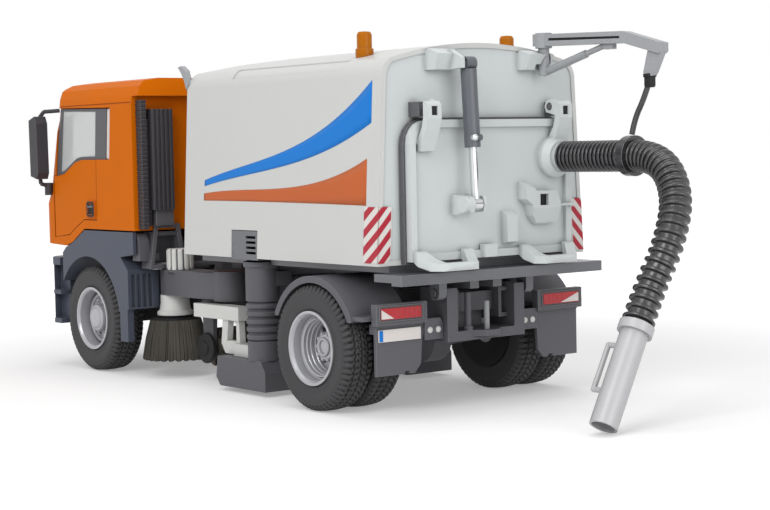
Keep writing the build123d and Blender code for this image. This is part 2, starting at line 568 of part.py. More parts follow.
def hopper_rear():
    """The recessed rear wall, its two wedge brackets, the boom's bearing and the ram's upper ear."""
    x0 = HOPPER_X[0]
    rear = hopper_body(HOPPER_WALL, (x0 + 0.6, x0 + 3.2))
    opening = [(-52, 83), (52, 83), (52, 140), (46, 147), (-46, 147), (-52, 140)]
    rear -= prism(opening, "X", (-60, -40))
    for y0, y1, z0 in ((20.6, 38.7, 177.0), (-42.0, -25.0, 177.5)):
        wedge = [(x0 + 1, z0), (-57, z0), (-60.5, z0 + 8), (-52, 188), (x0 + 1, 186)]
        rear += prism(wedge, "Y", (y0, y1))
    bx, by = BOOM_PIVOT
    rear -= rod((bx, by, 170), (bx, by, 195), 3.6)
    rear -= block((-70, -53.4), (by - 9, by + 7), (170, 180.4))
    rx, rz = RAM_TOP
    rear -= block((-70, -52.4), (RAM_Y - 4.8, RAM_Y + 4.8), (170, 190))
    ear = [(x0 + 1, 177), (-57, 177), (rx - 3, rz - 2.5), (rx - 3, rz + 3), (-58, 187), (x0 + 1, 187)]
    rear += prism(ear, "Y", (RAM_Y + 4.8, RAM_Y + 7.8))
    return rear + cross_rod(rx, rz, 1.6, (RAM_Y - 3.6, RAM_Y + 6))


# The tailgate is a deep-rimmed panel with hinge arms, yokes below, the hose port and the ram's fork.
def gate_outline(inset, corner=12.0):
    """The tailgate's outline seen from behind, with its two rounded top corners."""
    low, high, wide = TAILGATE_Z[0] + inset, TAILGATE_Z[1] - inset, TAILGATE_Y - inset
    radius, steps = corner - inset, 5
    turns = [radians(90 * i / steps) for i in range(steps + 1)]
    arc = [(wide - radius + radius * cos(a), high - radius + radius * sin(a)) for a in turns]
    return [(-wide, low), (wide, low)] + arc + [(-a, b) for a, b in reversed(arc)]


def hinge_arm():
    """A curved arm that hangs the gate from its pin: a wide plate outside, one cheek round the pin."""
    x, z = TAILGATE_PIVOT
    plate = [(x - 4.4, z + 2.5), (x - 6.4, z + 2.9), (x - 8, z + 1), (x - 8.2, z - 6), (x - 6.4, z - 12),
             (x - 4.2, z - 17), (x - 2.2, z - 22.5), (x + 1, z - 22.5), (x + 1, z - 16), (x - 1.6, z - 13),
             (x - 3.2, z - 10), (x - 4.4, z - 5.5)]
    cheek = [(x - 5, z - 5), (x - 5, z + 2.6), (x - 1.5, z + 4), (x + 2.4, z + 3), (x + 3.6, z),
             (x + 2.4, z - 3), (x - 1.5, z - 4)]
    arm = prism(plate, "Y", (41, 50.2)) + prism(cheek, "Y", (41, 44.2)) - cross_rod(x, z, 2.1, (30, 44.6))
    return arm - block((x - 10, x - 6.4), (43.6, 47.4), (z - 4.4, z + 0.2))


def tailgate():
    """The gate with all that is moulded on it, the seal round it and the two yokes below."""
    x0, x1 = TAILGATE_X
    gate = prism(gate_outline(0), "X", (x0 + 2.2, x1 - 0.5))
    gate += prism(gate_outline(0), "X", (x0, x1 - 0.5)) - prism(gate_outline(4.0), "X", (x0 - 1, x1 + 1))
    gate += both_sides(hinge_arm())
    gusset = [(52.5, 148), (43, 148), (43, 135.5), (46.5, 135.5), (52.5, 141)]
    gate += both_sides(prism(gusset, "X", (x0 + 0.7, x0 + 3)))
    port_x, port_y, port_z = HOSE_PORT
    gate += rod((x0 + 3, port_y, port_z), (x0 - 1.5, port_y, port_z), 11.0)
    gate += Pos(x0 - 3.4, port_y, port_z) * (Rot(0, -90, 0) * Cone(11.0, 8.6, 3.8))
    gate += rod((x0, port_y, port_z), (port_x, port_y, port_z), 7.4)
    gate += ram_fork()
    # the square-socketed bracket with its thin bar, a short post, and the latch box
    side = [(x0 + 3, 94), (x0 - 2, 96), (x0 - 5, 104), (x0 - 5, 115), (x0 + 3, 119)]
    outline = [(-18.5, 118), (-21.5, 119), (-26, 113.5), (-41, 113), (-43.5, 107), (-43.5, 97), (-38, 94.5),
               (-29, 95), (-24.5, 100), (-23, 106), (-18.5, 109)]
    bracket = prism(side, "Y", (-43.5, -18)) & prism(outline, "X", (x0 - 8, x0 + 4))
    bracket -= block((x0 - 8, x0 - 1.5), (-34.5, -28.5), (105.5, 111.5))
    gate = joined(gate, bracket, block((x0 - 2.6, x0 - 1), (-55.8, -42), (104.6, 106)))
    gate += block((x0 - 2, x0 + 2), (-55.8, -53.5), (104, 106.6))
    gate += prism([(x0 + 3, 85.5), (x0 - 3, 87), (x0 - 3, 101), (x0 + 3, 104)], "Y", (-14, -6.5))
    gate += block((x0 - 3, x0 + 1), (0.5, 9.5), (79.8, 86.5))
    save("tailgate_panel", gate)

    seal = prism(gate_outline(-1.2, 13), "X", (x1 - 0.5, HOPPER_X[0] - 0.2))
    seal -= prism(gate_outline(5.0), "X", (-70, -40))
    save("tailgate_seal", seal)

    yoke = prism(YOKE_OUTSIDE, "Z", (70, 90)) - prism(YOKE_INSIDE, "Z", (60, 100))
    yoke &= prism(YOKE_SIDE, "Y", (0, 70))
    save("tailgate_yokes", Compound(children=[yoke.solid(), other_side(yoke).solid()]))


def ram_fork():
    """Two ears round the rod's eye, the left one with a round boss."""
    x0 = TAILGATE_X[0]
    x, z = RAM_FOOT
    left = [(x0 + 3, z - 6), (x - 3, z - 4), (x - 4, z), (x - 3, z + 4), (x0 + 3, z + 5)]
    right = [(x0 + 3, z - 5), (x - 2, z - 4), (x - 3, z), (x - 2, z + 4), (x0 + 3, z + 5)]
    ears = prism(left, "Y", (RAM_Y + 3.4, RAM_Y + 6.5)) + cross_rod(x, z, 4.2, (RAM_Y + 3.4, RAM_Y + 9.5))
    return ears + prism(right, "Y", (RAM_Y - 5.4, RAM_Y - 3.4))


def ram():
    """The ram: a barrel hung from the hopper, and a rod whose eye sits in the tailgate's fork."""
    (x0, z0), (x1, z1) = RAM_TOP, RAM_FOOT
    way = Vector(x1 - x0, 0, z1 - z0)
    unit = way.normalized()

    def along(distance, y=RAM_Y):
        """A place on the ram's centre line, counted from its upper pin."""
        return (x0 + unit.X * distance, y, z0 + unit.Z * distance)

    barrel = rod(along(3), along(43), 4.2) - rod(along(10), along(44), 2.65)
    barrel += cross_rod(x0, z0, 3.6, (RAM_Y - 3.2, RAM_Y + 3.2))
    barrel -= cross_rod(x0, z0, 1.9, (RAM_Y - 5, RAM_Y + 5))
    boss = Vector(*along(38, RAM_Y - 1))
    barrel += rod((boss.X - 3.6, boss.Y, boss.Z), (boss.X - 5.4, boss.Y, boss.Z), 1.7)
    save("ram_barrel", barrel)
    piston = rod(along(32), along(way.length), 2.2) + cross_rod(x1, z1, 3.2, (RAM_Y - 2.6, RAM_Y + 2.6))
    save("ram_rod", piston)


def boom():
    """The boom: an upright post, a bar with a sunk groove, a strut under it and the strap's clip."""
    bx, by = BOOM_PIVOT
    kink, tip = 57.0, 80.0
    lean = -4.2
    post = rod((0, 0, 174.5), (0, 0, 197), 3.0) + rod((0, 0, 189), (0, 0, 197), 4.5)
    bar_side = [(-5, 190.2), (kink, 188.5), (tip, 182.0), (tip + 1.5, 183), (tip + 1.5, 187.5), (kink, 194.6),
                (-5, 196.6)]
    bar = prism(bar_side, "Y", (-3.2, 3.2))
    groove = prism([(6, 192.6), (kink - 2, 191), (kink - 2, 192.2), (6, 194)], "Y", (-4, 4))
    bar -= groove - prism([(0, 180), (tip, 180), (tip, 200), (0, 200)], "Y", (-2.4, 2.4))
    strut = rod((0, 0, 176), (30, 0, 184.5), 2.1) + rod((0, 0, 176), (46, 0, 189), 1.5)
    strut += block((43, 49), (-1.8, 1.8), (186, 190))
    clip_side = [(tip - 7, 186), (tip - 10.5, 173), (tip - 9.5, 171), (tip - 5.5, 171), (tip - 4, 173),
                 (tip + 1.5, 184)]
    clip = prism(clip_side, "Y", (-2.2, 2.2))
    return Pos(bx, by, 0) * (Rot(0, 0, 180 - lean) * joined(post, bar, strut, clip))


def wheels():
    """The four wheel groups: each rim and tyre is an outline turned about its axle."""
    tyre_points = [(RIM_RADIUS, 0.8), (24, 0), (29, 0), (33.0, 2.6), (TYRE_RADIUS, 5)]

    def tyre(width):
        """A tyre's outline over its width, its second half being the first half backwards."""
        return tyre_points + [(r, width - a) for r, a in reversed(tyre_points)]

    bore = AXLE_RADIUS + HUB_CLEARANCE
    y0, y1 = FRONT_TYRE_Y
    wide = y1 - y0
    front_rim = [(0, 9.5), (bore, 9.5), (bore, 1.5), (8, 1.5), (8, 9), (17.8, 8.2), (17.8, 0),
                 (RIM_RADIUS, 0), (RIM_RADIUS, wide), (18.4, wide), (17.4, wide - 1.2), (16.6, 11.2),
                 (9, 12.5), (8.2, 16), (5.5, 17.8), (0, 18.2)]
    rim = turned(front_rim, WHEELBASE, y0, TYRE_RADIUS)
    save("front_rim_left", rim)
    save("front_rim_right", other_side(rim))
    ring = turned(tyre(wide), WHEELBASE, y0, TYRE_RADIUS)
    save("front_tyre_left", ring)
    save("front_tyre_right", other_side(ring))

    (a0, a1), (b0, b1) = REAR_TYRES_Y
    wide = b1 - a0
    rear_rim = [(0, 20.5), (bore, 20.5), (bore, 1), (8, 1), (8, 19), (17.8, 19), (17.8, 0), (RIM_RADIUS, 0),
                (RIM_RADIUS, wide), (18.4, wide), (17.4, wide - 1.5), (16.8, wide - 6), (15.2, wide - 7),
                (14.6, 23.5), (8.6, 22.5), (8, 27), (6.5, 29), (0, 29.5)]
    dish = turned(rear_rim, 0, a0, TYRE_RADIUS)
    holes, hole_ring, hole_radius = 8, 11.6, 1.7
    for i in range(holes):
        a = 2 * pi * i / holes
        x, z = hole_ring * cos(a), TYRE_RADIUS + hole_ring * sin(a)
        dish -= cross_rod(x, z, hole_radius, (a0 + 18, a0 + 25))
    save("rear_rim_left", dish)
    save("rear_rim_right", other_side(dish))
    pair = [turned(tyre(y[1] - y[0]), 0, y[0], TYRE_RADIUS) for y in REAR_TYRES_Y]
    gap = b0 - a1
    band = turned([(RIM_RADIUS, -1), (23, -1), (23, gap + 1), (RIM_RADIUS, gap + 1)], 0, a1, TYRE_RADIUS)
    twins = joined(pair[0], band, pair[1])
    save("rear_tyres_left", twins)
    save("rear_tyres_right", other_side(twins))


def step_box():
    """Behind the front wheel: an open box whose rim faces the tail, under the cab's rear edge."""
    rim = [(42.5, 67), (68, 67), (64, 94), (46.5, 94)]
    inside = [(45.2, 69.4), (65.2, 69.4), (61.8, 91.6), (49, 91.6)]
    box = prism(rim, "X", (181, 192)) - block((182.9, 200), (30, 80), (89.4, 100))
    hollow = prism(inside, "X", (182, 190)) & block((181, 191), (30, 80), (60, 87))
    box -= prism(inside, "X", (180, 182.9)) + hollow
    box += block((177.4, 182.9), (52.7, 65), (93.5, 103.2))
    guard = prism([(184, 72), (192, 72), (192, 86), (190, 88.6), (187, 88.6), (184, 84)], "Y", (66.5, 73.8))
    box += guard + block((184, 190), (60, 70), (72, 76))
    return box + block((183, 191), (15, 48), (67, 69.4)) + block((183, 191), (15, 20), (RAIL_Z[1], 69.4))


def pipe_frame():
    """The suction pipe's top, its direction and its length."""
    start, end = Vector(*PIPE_TOP), Vector(*PIPE_FOOT)
    return start, (end - start).normalized(), (end - start).length


def suction_pipe():
    """The pipe that stands on the floor at the hose's end, with a grip on one side."""
    start, unit, length = pipe_frame()

    def at(distance, out=0.0):
        """A place along the pipe, counted from its top, and out from its axis."""
        spot = start + unit * distance
        return (spot.X + out, spot.Y + 0.1 * out, spot.Z)

    pipe = rod(at(0.2), at(length), PIPE_RADIUS) + rod(at(0.2), at(5), PIPE_RADIUS + 1.8)
    pipe -= rod(at(8), at(length + 1), PIPE_RADIUS - 1.2)
    upper, lower, reach, thick = 12, 36, 13, 1.4
    grip = rod(at(upper, 5), at(upper, reach), thick) + rod(at(lower, reach), at(lower, 5), thick)
    grip += rod(at(upper, reach), at(lower, reach), thick)
    grip += Pos(*at(upper, reach)) * Sphere(thick) + Pos(*at(lower, reach)) * Sphere(thick)
    return pipe + grip


def cord_tube(route, radius, name):
    """A tube along straight runs joined by the widest arcs that the runs allow."""
    points = [Vector(*point) for point in route]
    runs = [points[i + 1] - points[i] for i in range(len(points) - 1)]
    radii = []
    for before, after in zip(runs, runs[1:]):
        turn = radians(before.get_angle(after))
        radii.append(0.45 * min(before.length, after.length) / tan(turn / 2))
    print(name, "radii", [round(r, 1) for r in radii])
    path = Wire(FilletPolyline(*points, radius=radii).edges())
    start = Plane(origin=points[0], z_dir=runs[0])
    tube = sweep(start * Circle(radius), path)
    ratio = tube.volume / (pi * radius**2 * path.length)
    print(name, "length", round(path.length, 1), "volume ratio", round(ratio, 4))
    return tube


def hose():
    """The hose in two stretches, the ring that the boom holds it by, and the strap between them."""
    save("hose_upper", rod(HOSE_PORT, HOSE_ROUTE[0], HOSE_RADIUS))
    save("hose_lower", cord_tube(HOSE_ROUTE, HOSE_RADIUS, "hose"))
    save("hose_strap", cord_tube(STRAP_ROUTE, STRAP_RADIUS, "strap"))
    x = HOSE_RING_X
    _, y, z = HOSE_PORT
    save("hose_ring", rod((x - 2.5, y, z), (x + 2.5, y, z), HOSE_RADIUS + 2.2, HOSE_RADIUS))


def main():
    """Build and write every piece."""
    chassis()
    front_corner()
    rear_end()
    suction_gear()
    broom()
    hangers = roller_hangers()
    save("roller_hangers", joined(hangers, other_side(hangers)))
    cab()
    hopper()
    tailgate()
    ram()
    save("boom", boom())
    wheels()
    save("step_box", step_box())
    save("suction_pipe", suction_pipe())
    hose()


main()
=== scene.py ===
# %% [markdown]
# # A toy street sweeper truck, dressed cell by cell
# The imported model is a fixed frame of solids. This file gives each solid its finish, lays the hose and
# its strap as real lengths of hose, and adds what is too fine for the solids: tread, bristles,
# corrugations, stickers and small trim. Shapes are worked out as whole numpy arrays.

# %% Load the frame
import bmesh
import bpy
import json
import math
import numpy as np
from mathutils import Matrix, Vector


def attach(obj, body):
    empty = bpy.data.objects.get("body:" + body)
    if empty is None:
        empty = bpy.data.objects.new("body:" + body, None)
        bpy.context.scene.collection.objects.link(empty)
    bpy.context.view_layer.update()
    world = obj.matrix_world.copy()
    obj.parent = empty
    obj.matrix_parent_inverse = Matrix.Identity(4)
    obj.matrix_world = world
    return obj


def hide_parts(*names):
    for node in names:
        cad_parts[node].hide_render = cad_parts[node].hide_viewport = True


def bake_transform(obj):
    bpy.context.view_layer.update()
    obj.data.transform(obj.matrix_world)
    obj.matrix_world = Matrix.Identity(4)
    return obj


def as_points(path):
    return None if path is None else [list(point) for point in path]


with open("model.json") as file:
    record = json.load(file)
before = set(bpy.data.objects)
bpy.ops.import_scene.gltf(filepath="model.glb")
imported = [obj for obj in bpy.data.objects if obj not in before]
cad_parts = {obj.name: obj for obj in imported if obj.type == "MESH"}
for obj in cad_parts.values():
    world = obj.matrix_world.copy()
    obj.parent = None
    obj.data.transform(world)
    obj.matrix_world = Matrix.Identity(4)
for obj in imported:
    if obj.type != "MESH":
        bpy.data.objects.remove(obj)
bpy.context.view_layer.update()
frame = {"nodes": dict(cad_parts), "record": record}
nodes = frame["nodes"]

# %% [markdown]
# ## Places
# The truck was measured in millimetres from its rear axle, +X forward, +Y to its left and +Z up. The
# frame is in metres from the middle of the truck, so every place below goes through one small function.

# %% Places along the truck
MM = 0.001
REAR_AXLE_X = -82.2
SIDES = (("left", 1), ("right", -1))


def place(points):
    """Millimetres from the rear axle to metres in the frame: shift along X, then scale."""
    return (np.asarray(points, float) + (REAR_AXLE_X, 0.0, 0.0)) * MM


# %% [markdown]
# ## Camera
# The photograph looks at the truck's left rear corner from about a metre away, almost level. A camera
# could follow a target with a Track To constraint, but its roll would then be lost. Its matrix has its
# right, up and backward directions as columns, so the turn is worked out here from yaw, pitch and roll.

# %% The camera
CAMERA_PLACE = (-744.1, 610.4, 138.1)
CAMERA_YAW = math.radians(-38.035)
CAMERA_PITCH = math.radians(3.527)
CAMERA_ROLL = math.radians(-1.204)
CAMERA_LENS = 81.84
CAMERA_SENSOR = 36.0
CAMERA_NEAR = 0.02

forward = Vector((math.cos(CAMERA_PITCH) * math.cos(CAMERA_YAW),
                  math.cos(CAMERA_PITCH) * math.sin(CAMERA_YAW), -math.sin(CAMERA_PITCH)))
level = Vector((math.sin(CAMERA_YAW), -math.cos(CAMERA_YAW), 0.0))
above = level.cross(forward)
right = math.cos(CAMERA_ROLL) * level + math.sin(CAMERA_ROLL) * above
up = -math.sin(CAMERA_ROLL) * level + math.cos(CAMERA_ROLL) * above
camera = bpy.data.objects.new("camera", bpy.data.cameras.new("camera"))
camera.data.lens = CAMERA_LENS
camera.data.sensor_width = CAMERA_SENSOR
camera.data.clip_start = CAMERA_NEAR
camera_turn = Matrix((right, up, -forward)).transposed().to_4x4()
camera.matrix_world = Matrix.Translation(place(CAMERA_PLACE)) @ camera_turn
bpy.context.scene.collection.objects.link(camera)
bpy.context.scene.camera = camera
bpy.context.scene.view_settings.view_transform = "Standard"
print("the camera stands", round(camera.matrix_world.translation.length, 3), "m from the truck's middle")

# %% [markdown]
# ## Meshes from arrays
# Nearly every new piece is a surface over two parameters: a grid of points with rows and columns, either
# open or joined round. One helper makes the quads of such a grid, and another turns points and faces into
# a closed mesh: it merges the doubled points of seams and poles, then makes all faces point outwards.

# %% Grids and meshes
MERGE = 1e-6
TURNED_EDGE = 35
LOOPED_EDGE = 40


def grid_faces(rows, cols, round_rows=False, round_cols=False):
    """Quads between neighbours of a rows x cols grid; a round direction joins its last to its first."""
    i = np.arange(rows if round_rows else rows - 1)[:, None]
    j = np.arange(cols if round_cols else cols - 1)[None, :]
    a = i * cols + j
    b = i * cols + (j + 1) % cols
    c = ((i + 1) % rows) * cols + (j + 1) % cols
    d = ((i + 1) % rows) * cols + j
    return np.stack([a, b, c, d], axis=-1).reshape(-1, 4)


def made(name, points, faces, material, body, slot, smooth=True):
    """A piece from points in metres and lists of face corners, closed, facing outwards, riding on a body."""
    mesh = bpy.data.meshes.new(name)
    mesh.from_pydata(np.asarray(points).reshape(-1, 3).tolist(), [], [list(map(int, f)) for f in faces])
    work = bmesh.new()
    work.from_mesh(mesh)
    bmesh.ops.remove_doubles(work, verts=work.verts, dist=MERGE)
    bmesh.ops.recalc_face_normals(work, faces=work.faces)
    work.to_mesh(mesh)
    work.free()
    mesh.polygons.foreach_set("use_smooth", np.full(len(mesh.polygons), smooth))
    piece = bpy.data.objects.new(name, mesh)
    bpy.context.scene.collection.objects.link(piece)
    mesh.materials.append(material)
    if body:
        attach(piece, body)
    return piece


def crease(piece, degrees):
    """Edges that turn by more than an angle stay sharp on an otherwise smooth piece."""
    piece.data.set_sharp_from_angle(angle=math.radians(degrees))
    return piece


def turned(profile, centre, axis, segments):
    """Points of a profile of (radius, height) pairs turned about an axis X, Y or Z through a centre.

    Square to the axis a point is its radius times the cosine and sine of an angle that runs round once.
    """
    radius, height = np.asarray(profile, float).T
    angle = np.linspace(0, 2 * np.pi, segments, endpoint=False)[:, None]
    a, b = radius * np.cos(angle), radius * np.sin(angle)
    h = np.broadcast_to(height, a.shape)
    order = {"X": (h, a, b), "Y": (b, h, a), "Z": (a, b, h)}[axis]
    return np.stack(order, axis=-1) + np.asarray(centre, float)


def slab(front, back):
    """A thin closed plate between two grids of the same shape: both grids and the strip round their edge."""
    rows, cols = front.shape[:2]
    inner = grid_faces(rows, cols)
    first_row = np.arange(cols)
    last_col = np.arange(1, rows) * cols + cols - 1
    last_row = (rows - 1) * cols + np.arange(cols - 2, -1, -1)
    first_col = np.arange(rows - 2, 0, -1) * cols
    edge = np.concatenate([first_row, last_col, last_row, first_col])
    following = np.roll(edge, -1)
    count = rows * cols
    strip = np.stack([edge, following, following + count, edge + count], axis=-1)
    points = np.concatenate([front.reshape(-1, 3), back.reshape(-1, 3)])
    return points, np.concatenate([inner, inner[:, ::-1] + count, strip])


# %% [markdown]
# ## Turned, rounded and flat pieces
# More helpers serve the small trim. A turned piece is a profile carried round an axis. A rounded piece is
# a stack of loops that are neither ellipses nor rectangles but something between, which is how moulded
# caps and handles look. A flat piece is an outline with a front and a back. Primitives with modifiers
# could make most of these, but a profile in millimetres says plainly how big each step of the piece is.

# %% Helpers for trim


def lathe(name, profile, centre, axis, segments, material, body, slot, closed=False):
    """A profile turned about an axis; closed joins its last point to its first, as for a ring."""
    points = turned(profile, centre, axis, segments)
    faces = grid_faces(segments, len(profile), round_rows=True, round_cols=closed)
    return crease(made(name, place(points), faces, material, body, slot), TURNED_EDGE)


def rounded(name, centre, across, upward, loops, material, body, slot, power=0.45, segments=48):
    """Loops of (half width, half height, rise) about a centre.

    A loop's point is the half width times the signed power of a cosine across, and the half height
    times the signed power of a sine upwards. A power of 1 gives an ellipse and 0 a rectangle.
    """
    across, upward = np.asarray(across, float), np.asarray(upward, float)
    outward = np.cross(across, upward)
    wide, high, rise = np.asarray(loops, float).T
    angle = np.linspace(0, 2 * np.pi, segments, endpoint=False)[:, None]
    u = wide * np.sign(np.cos(angle)) * np.abs(np.cos(angle)) ** power
    v = high * np.sign(np.sin(angle)) * np.abs(np.sin(angle)) ** power
    flat = u[..., None] * across + v[..., None] * upward
    points = np.asarray(centre, float) + flat + rise[:, None] * outward
    faces = grid_faces(segments, len(loops), round_rows=True)
    return crease(made(name, place(points), faces, material, body, slot), LOOPED_EDGE)


def studs(name, spots, axis, profile, segments, material, body, slot):
    """The same small turned piece at many spots, as one mesh: its points are copied to every spot at once."""
    base = turned(profile, (0, 0, 0), axis, segments)
    spots = np.asarray(spots, float)
    points = spots[:, None, None, :] + base[None]
    faces = grid_faces(segments, len(profile), round_rows=True)
    first_points = segments * len(profile) * np.arange(len(spots))
    all_faces = (faces[None] + first_points[:, None, None]).reshape(-1, 4)
    return crease(made(name, place(points), all_faces, material, body, slot), TURNED_EDGE)


def flat_plates(name, outlines, lift, material, body, slot):
    """Thin prisms from outlines: lift(u, v, out) places a point of a plane at a share of its thickness."""
    points, faces = [], []
    for outline in outlines:
        base, count = len(points), len(outline)
        points += [lift(u, v, 1.0) for u, v in outline] + [lift(u, v, 0.0) for u, v in outline]
        faces += [[base + i for i in range(count)], [base + count + i for i in reversed(range(count))]]
        for i in range(count):
            after = (i + 1) % count
            faces.append([base + i, base + count + i, base + count + after, base + after])
    return made(name, place(points), faces, material, body, slot, smooth=False)


def facing_back(face, root):
    """A plane that faces the rear: u and v are Y and z, and the plate runs from X root to X face."""
    return lambda u, v, out: (root + (face - root) * out, u, v)


def facing_side(face, root):
    """A plane that faces a side: u and v are X and z, and the plate runs from Y root to Y face."""
    return lambda u, v, out: (u, root + (face - root) * out, v)


# %% [markdown]
# ## Finishes that several materials share
# Moulded plastic has a fine grain from the tool steel, a faint cloudiness where the melt cooled and edges
# that are never knife sharp. Seams and corners are darkened as painted shade, and edges are paled as a
# painted highlight. The nodes could be copied into every material, but each effect is a node group with named
# sockets, built once, so that a material only sets its own values.

# %% The shared shader groups
SAMPLES = 4
EDGE_RADIUS = 0.4 * MM
SEAM_SHADE_REACH = 4.0 * MM


def new_group(name, inputs, outputs):
    """An empty shader group with float or vector sockets, and its group input and output nodes."""
    group = bpy.data.node_groups.new(name, "ShaderNodeTree")
    for label, kind, value in inputs:
        socket = group.interface.new_socket(name=label, in_out="INPUT", socket_type=kind)
        if value is not None:
            socket.default_value = value
    for label, kind in outputs:
        group.interface.new_socket(name=label, in_out="OUTPUT", socket_type=kind)
    return group, group.nodes.new("NodeGroupInput"), group.nodes.new("NodeGroupOutput")


def math_node(tree, operation, first, second=None, clamp=False):
    """A Math node fed by sockets or plain numbers; returns its output."""
    node = tree.nodes.new("ShaderNodeMath")
    node.operation = operation
    node.use_clamp = clamp
    for socket, value in zip(node.inputs, (first, second)):
        if isinstance(value, bpy.types.NodeSocket):
            tree.links.new(value, socket)
        elif value is not None:
            socket.default_value = value
    return node.outputs[0]


def grain_group():
    """Grain is fine noise for the bump; Cloud is slow noise for tone and gloss."""
    inputs = [("Vector", "NodeSocketVector", None), ("Grain Scale", "NodeSocketFloat", 5000.0),
              ("Cloud Scale", "NodeSocketFloat", 60.0)]
    outputs = [("Grain", "NodeSocketFloat"), ("Cloud", "NodeSocketFloat")]
    group, given, result = new_group("moulded grain", inputs, outputs)
    for label, source, detail in (("Grain", "Grain Scale", 2.0), ("Cloud", "Cloud Scale", 4.0)):
        noise = group.nodes.new("ShaderNodeTexNoise")
        noise.inputs["Detail"].default_value = detail
        group.links.new(given.outputs["Vector"], noise.inputs["Vector"])
        group.links.new(given.outputs[source], noise.inputs["Scale"])
        group.links.new(noise.outputs["Fac"], result.inputs[label])
    return group


def edge_group():
    """Normal rounds the edges off; Edge is how far that rounded normal leans from the flat one."""
    inputs = [("Strength", "NodeSocketFloat", 4.0)]
    outputs = [("Normal", "NodeSocketVector"), ("Edge", "NodeSocketFloat")]
    group, given, result = new_group("soft edge", inputs, outputs)
    rounding = group.nodes.new("ShaderNodeBevel")
    rounding.samples = SAMPLES
    rounding.inputs["Radius"].default_value = EDGE_RADIUS
    surface = group.nodes.new("ShaderNodeNewGeometry")
    dot = group.nodes.new("ShaderNodeVectorMath")
    dot.operation = "DOT_PRODUCT"
    group.links.new(rounding.outputs["Normal"], dot.inputs[0])
    group.links.new(surface.outputs["Normal"], dot.inputs[1])
    lean = math_node(group, "SUBTRACT", 1.0, dot.outputs["Value"])
    scaled = math_node(group, "MULTIPLY", lean, given.outputs["Strength"], clamp=True)
    group.links.new(rounding.outputs["Normal"], result.inputs["Normal"])
    group.links.new(scaled, result.inputs["Edge"])
    return group


def seam_shade_group():
    """Open is 1 on free surfaces and falls towards 0 in seams and corners within the given reach."""
    inputs = [("Reach", "NodeSocketFloat", SEAM_SHADE_REACH)]
    group, given, result = new_group("seam_shade", inputs, [("Open", "NodeSocketFloat")])
    shade = group.nodes.new("ShaderNodeAmbientOcclusion")
    shade.samples = SAMPLES
    group.links.new(given.outputs["Reach"], shade.inputs["Distance"])
    group.links.new(shade.outputs["AO"], result.inputs["Open"])
    return group


GRAIN = grain_group()
EDGE = edge_group()
SEAM_SHADE_GROUP = seam_shade_group()
print("shader groups:", ", ".join(group.name for group in (GRAIN, EDGE, SEAM_SHADE_GROUP)))

# %% [markdown]
# ## Materials
# The toy is moulded in a few plastics, with silvered rims and a bright rod. Each finish is one call with a
# colour as the photograph shows it, a roughness, and how far painted shade darkens the seams and a painted
# highlight pales the edges. A picture texture would tie it to one photograph, while these patterns follow
# the object's own coordinates. The colours are written as 0 to 255 screen values and turned into the linear
# values that a shader works with.

# %% Colour and the moulded plastic material
# A painted highlight pales edges towards the grey below, and painted shade darkens seams by the shift after
# it.
EDGE_HIGHLIGHT_GREY = (0.85, 0.85, 0.85, 1.0)
SEAM_SHADE_SHIFT = -0.92
ROUGHNESS_SPREAD = 0.07
RELIEF = 0.2 * MM


def ink(red, green, blue):
    """A screen colour of 0 to 255 as linear red, green, blue and alpha, by the usual display curve."""
    share = np.array([red, green, blue]) / 255.0
    linear = np.where(share <= 0.04045, share / 12.92, ((share + 0.055) / 1.055) ** 2.4)
    return (*linear.tolist(), 1.0)


def mixed(tree, share, first, second):
    """A colour mix node; first and second are sockets or colours, and share is a socket or a number."""
    node = tree.nodes.new("ShaderNodeMix")
    node.data_type = "RGBA"
    for socket, value in ((node.inputs["Factor"], share), (node.inputs[6], first), (node.inputs[7], second)):
        if isinstance(value, bpy.types.NodeSocket):
            tree.links.new(value, socket)
        else:
            socket.default_value = value
    return node.outputs[2]


def ranged(tree, value, low, high):
    """A 0 to 1 value spread over another range."""
    node = tree.nodes.new("ShaderNodeMapRange")
    node.inputs["To Min"].default_value = low
    node.inputs["To Max"].default_value = high
    tree.links.new(value, node.inputs["Value"])
    return node.outputs["Result"]


def shaded(shift, colour):
    """The same colour, lighter or darker by a share."""
    return (*[min(1.0, c * (1.0 + shift)) for c in colour[:3]], 1.0)


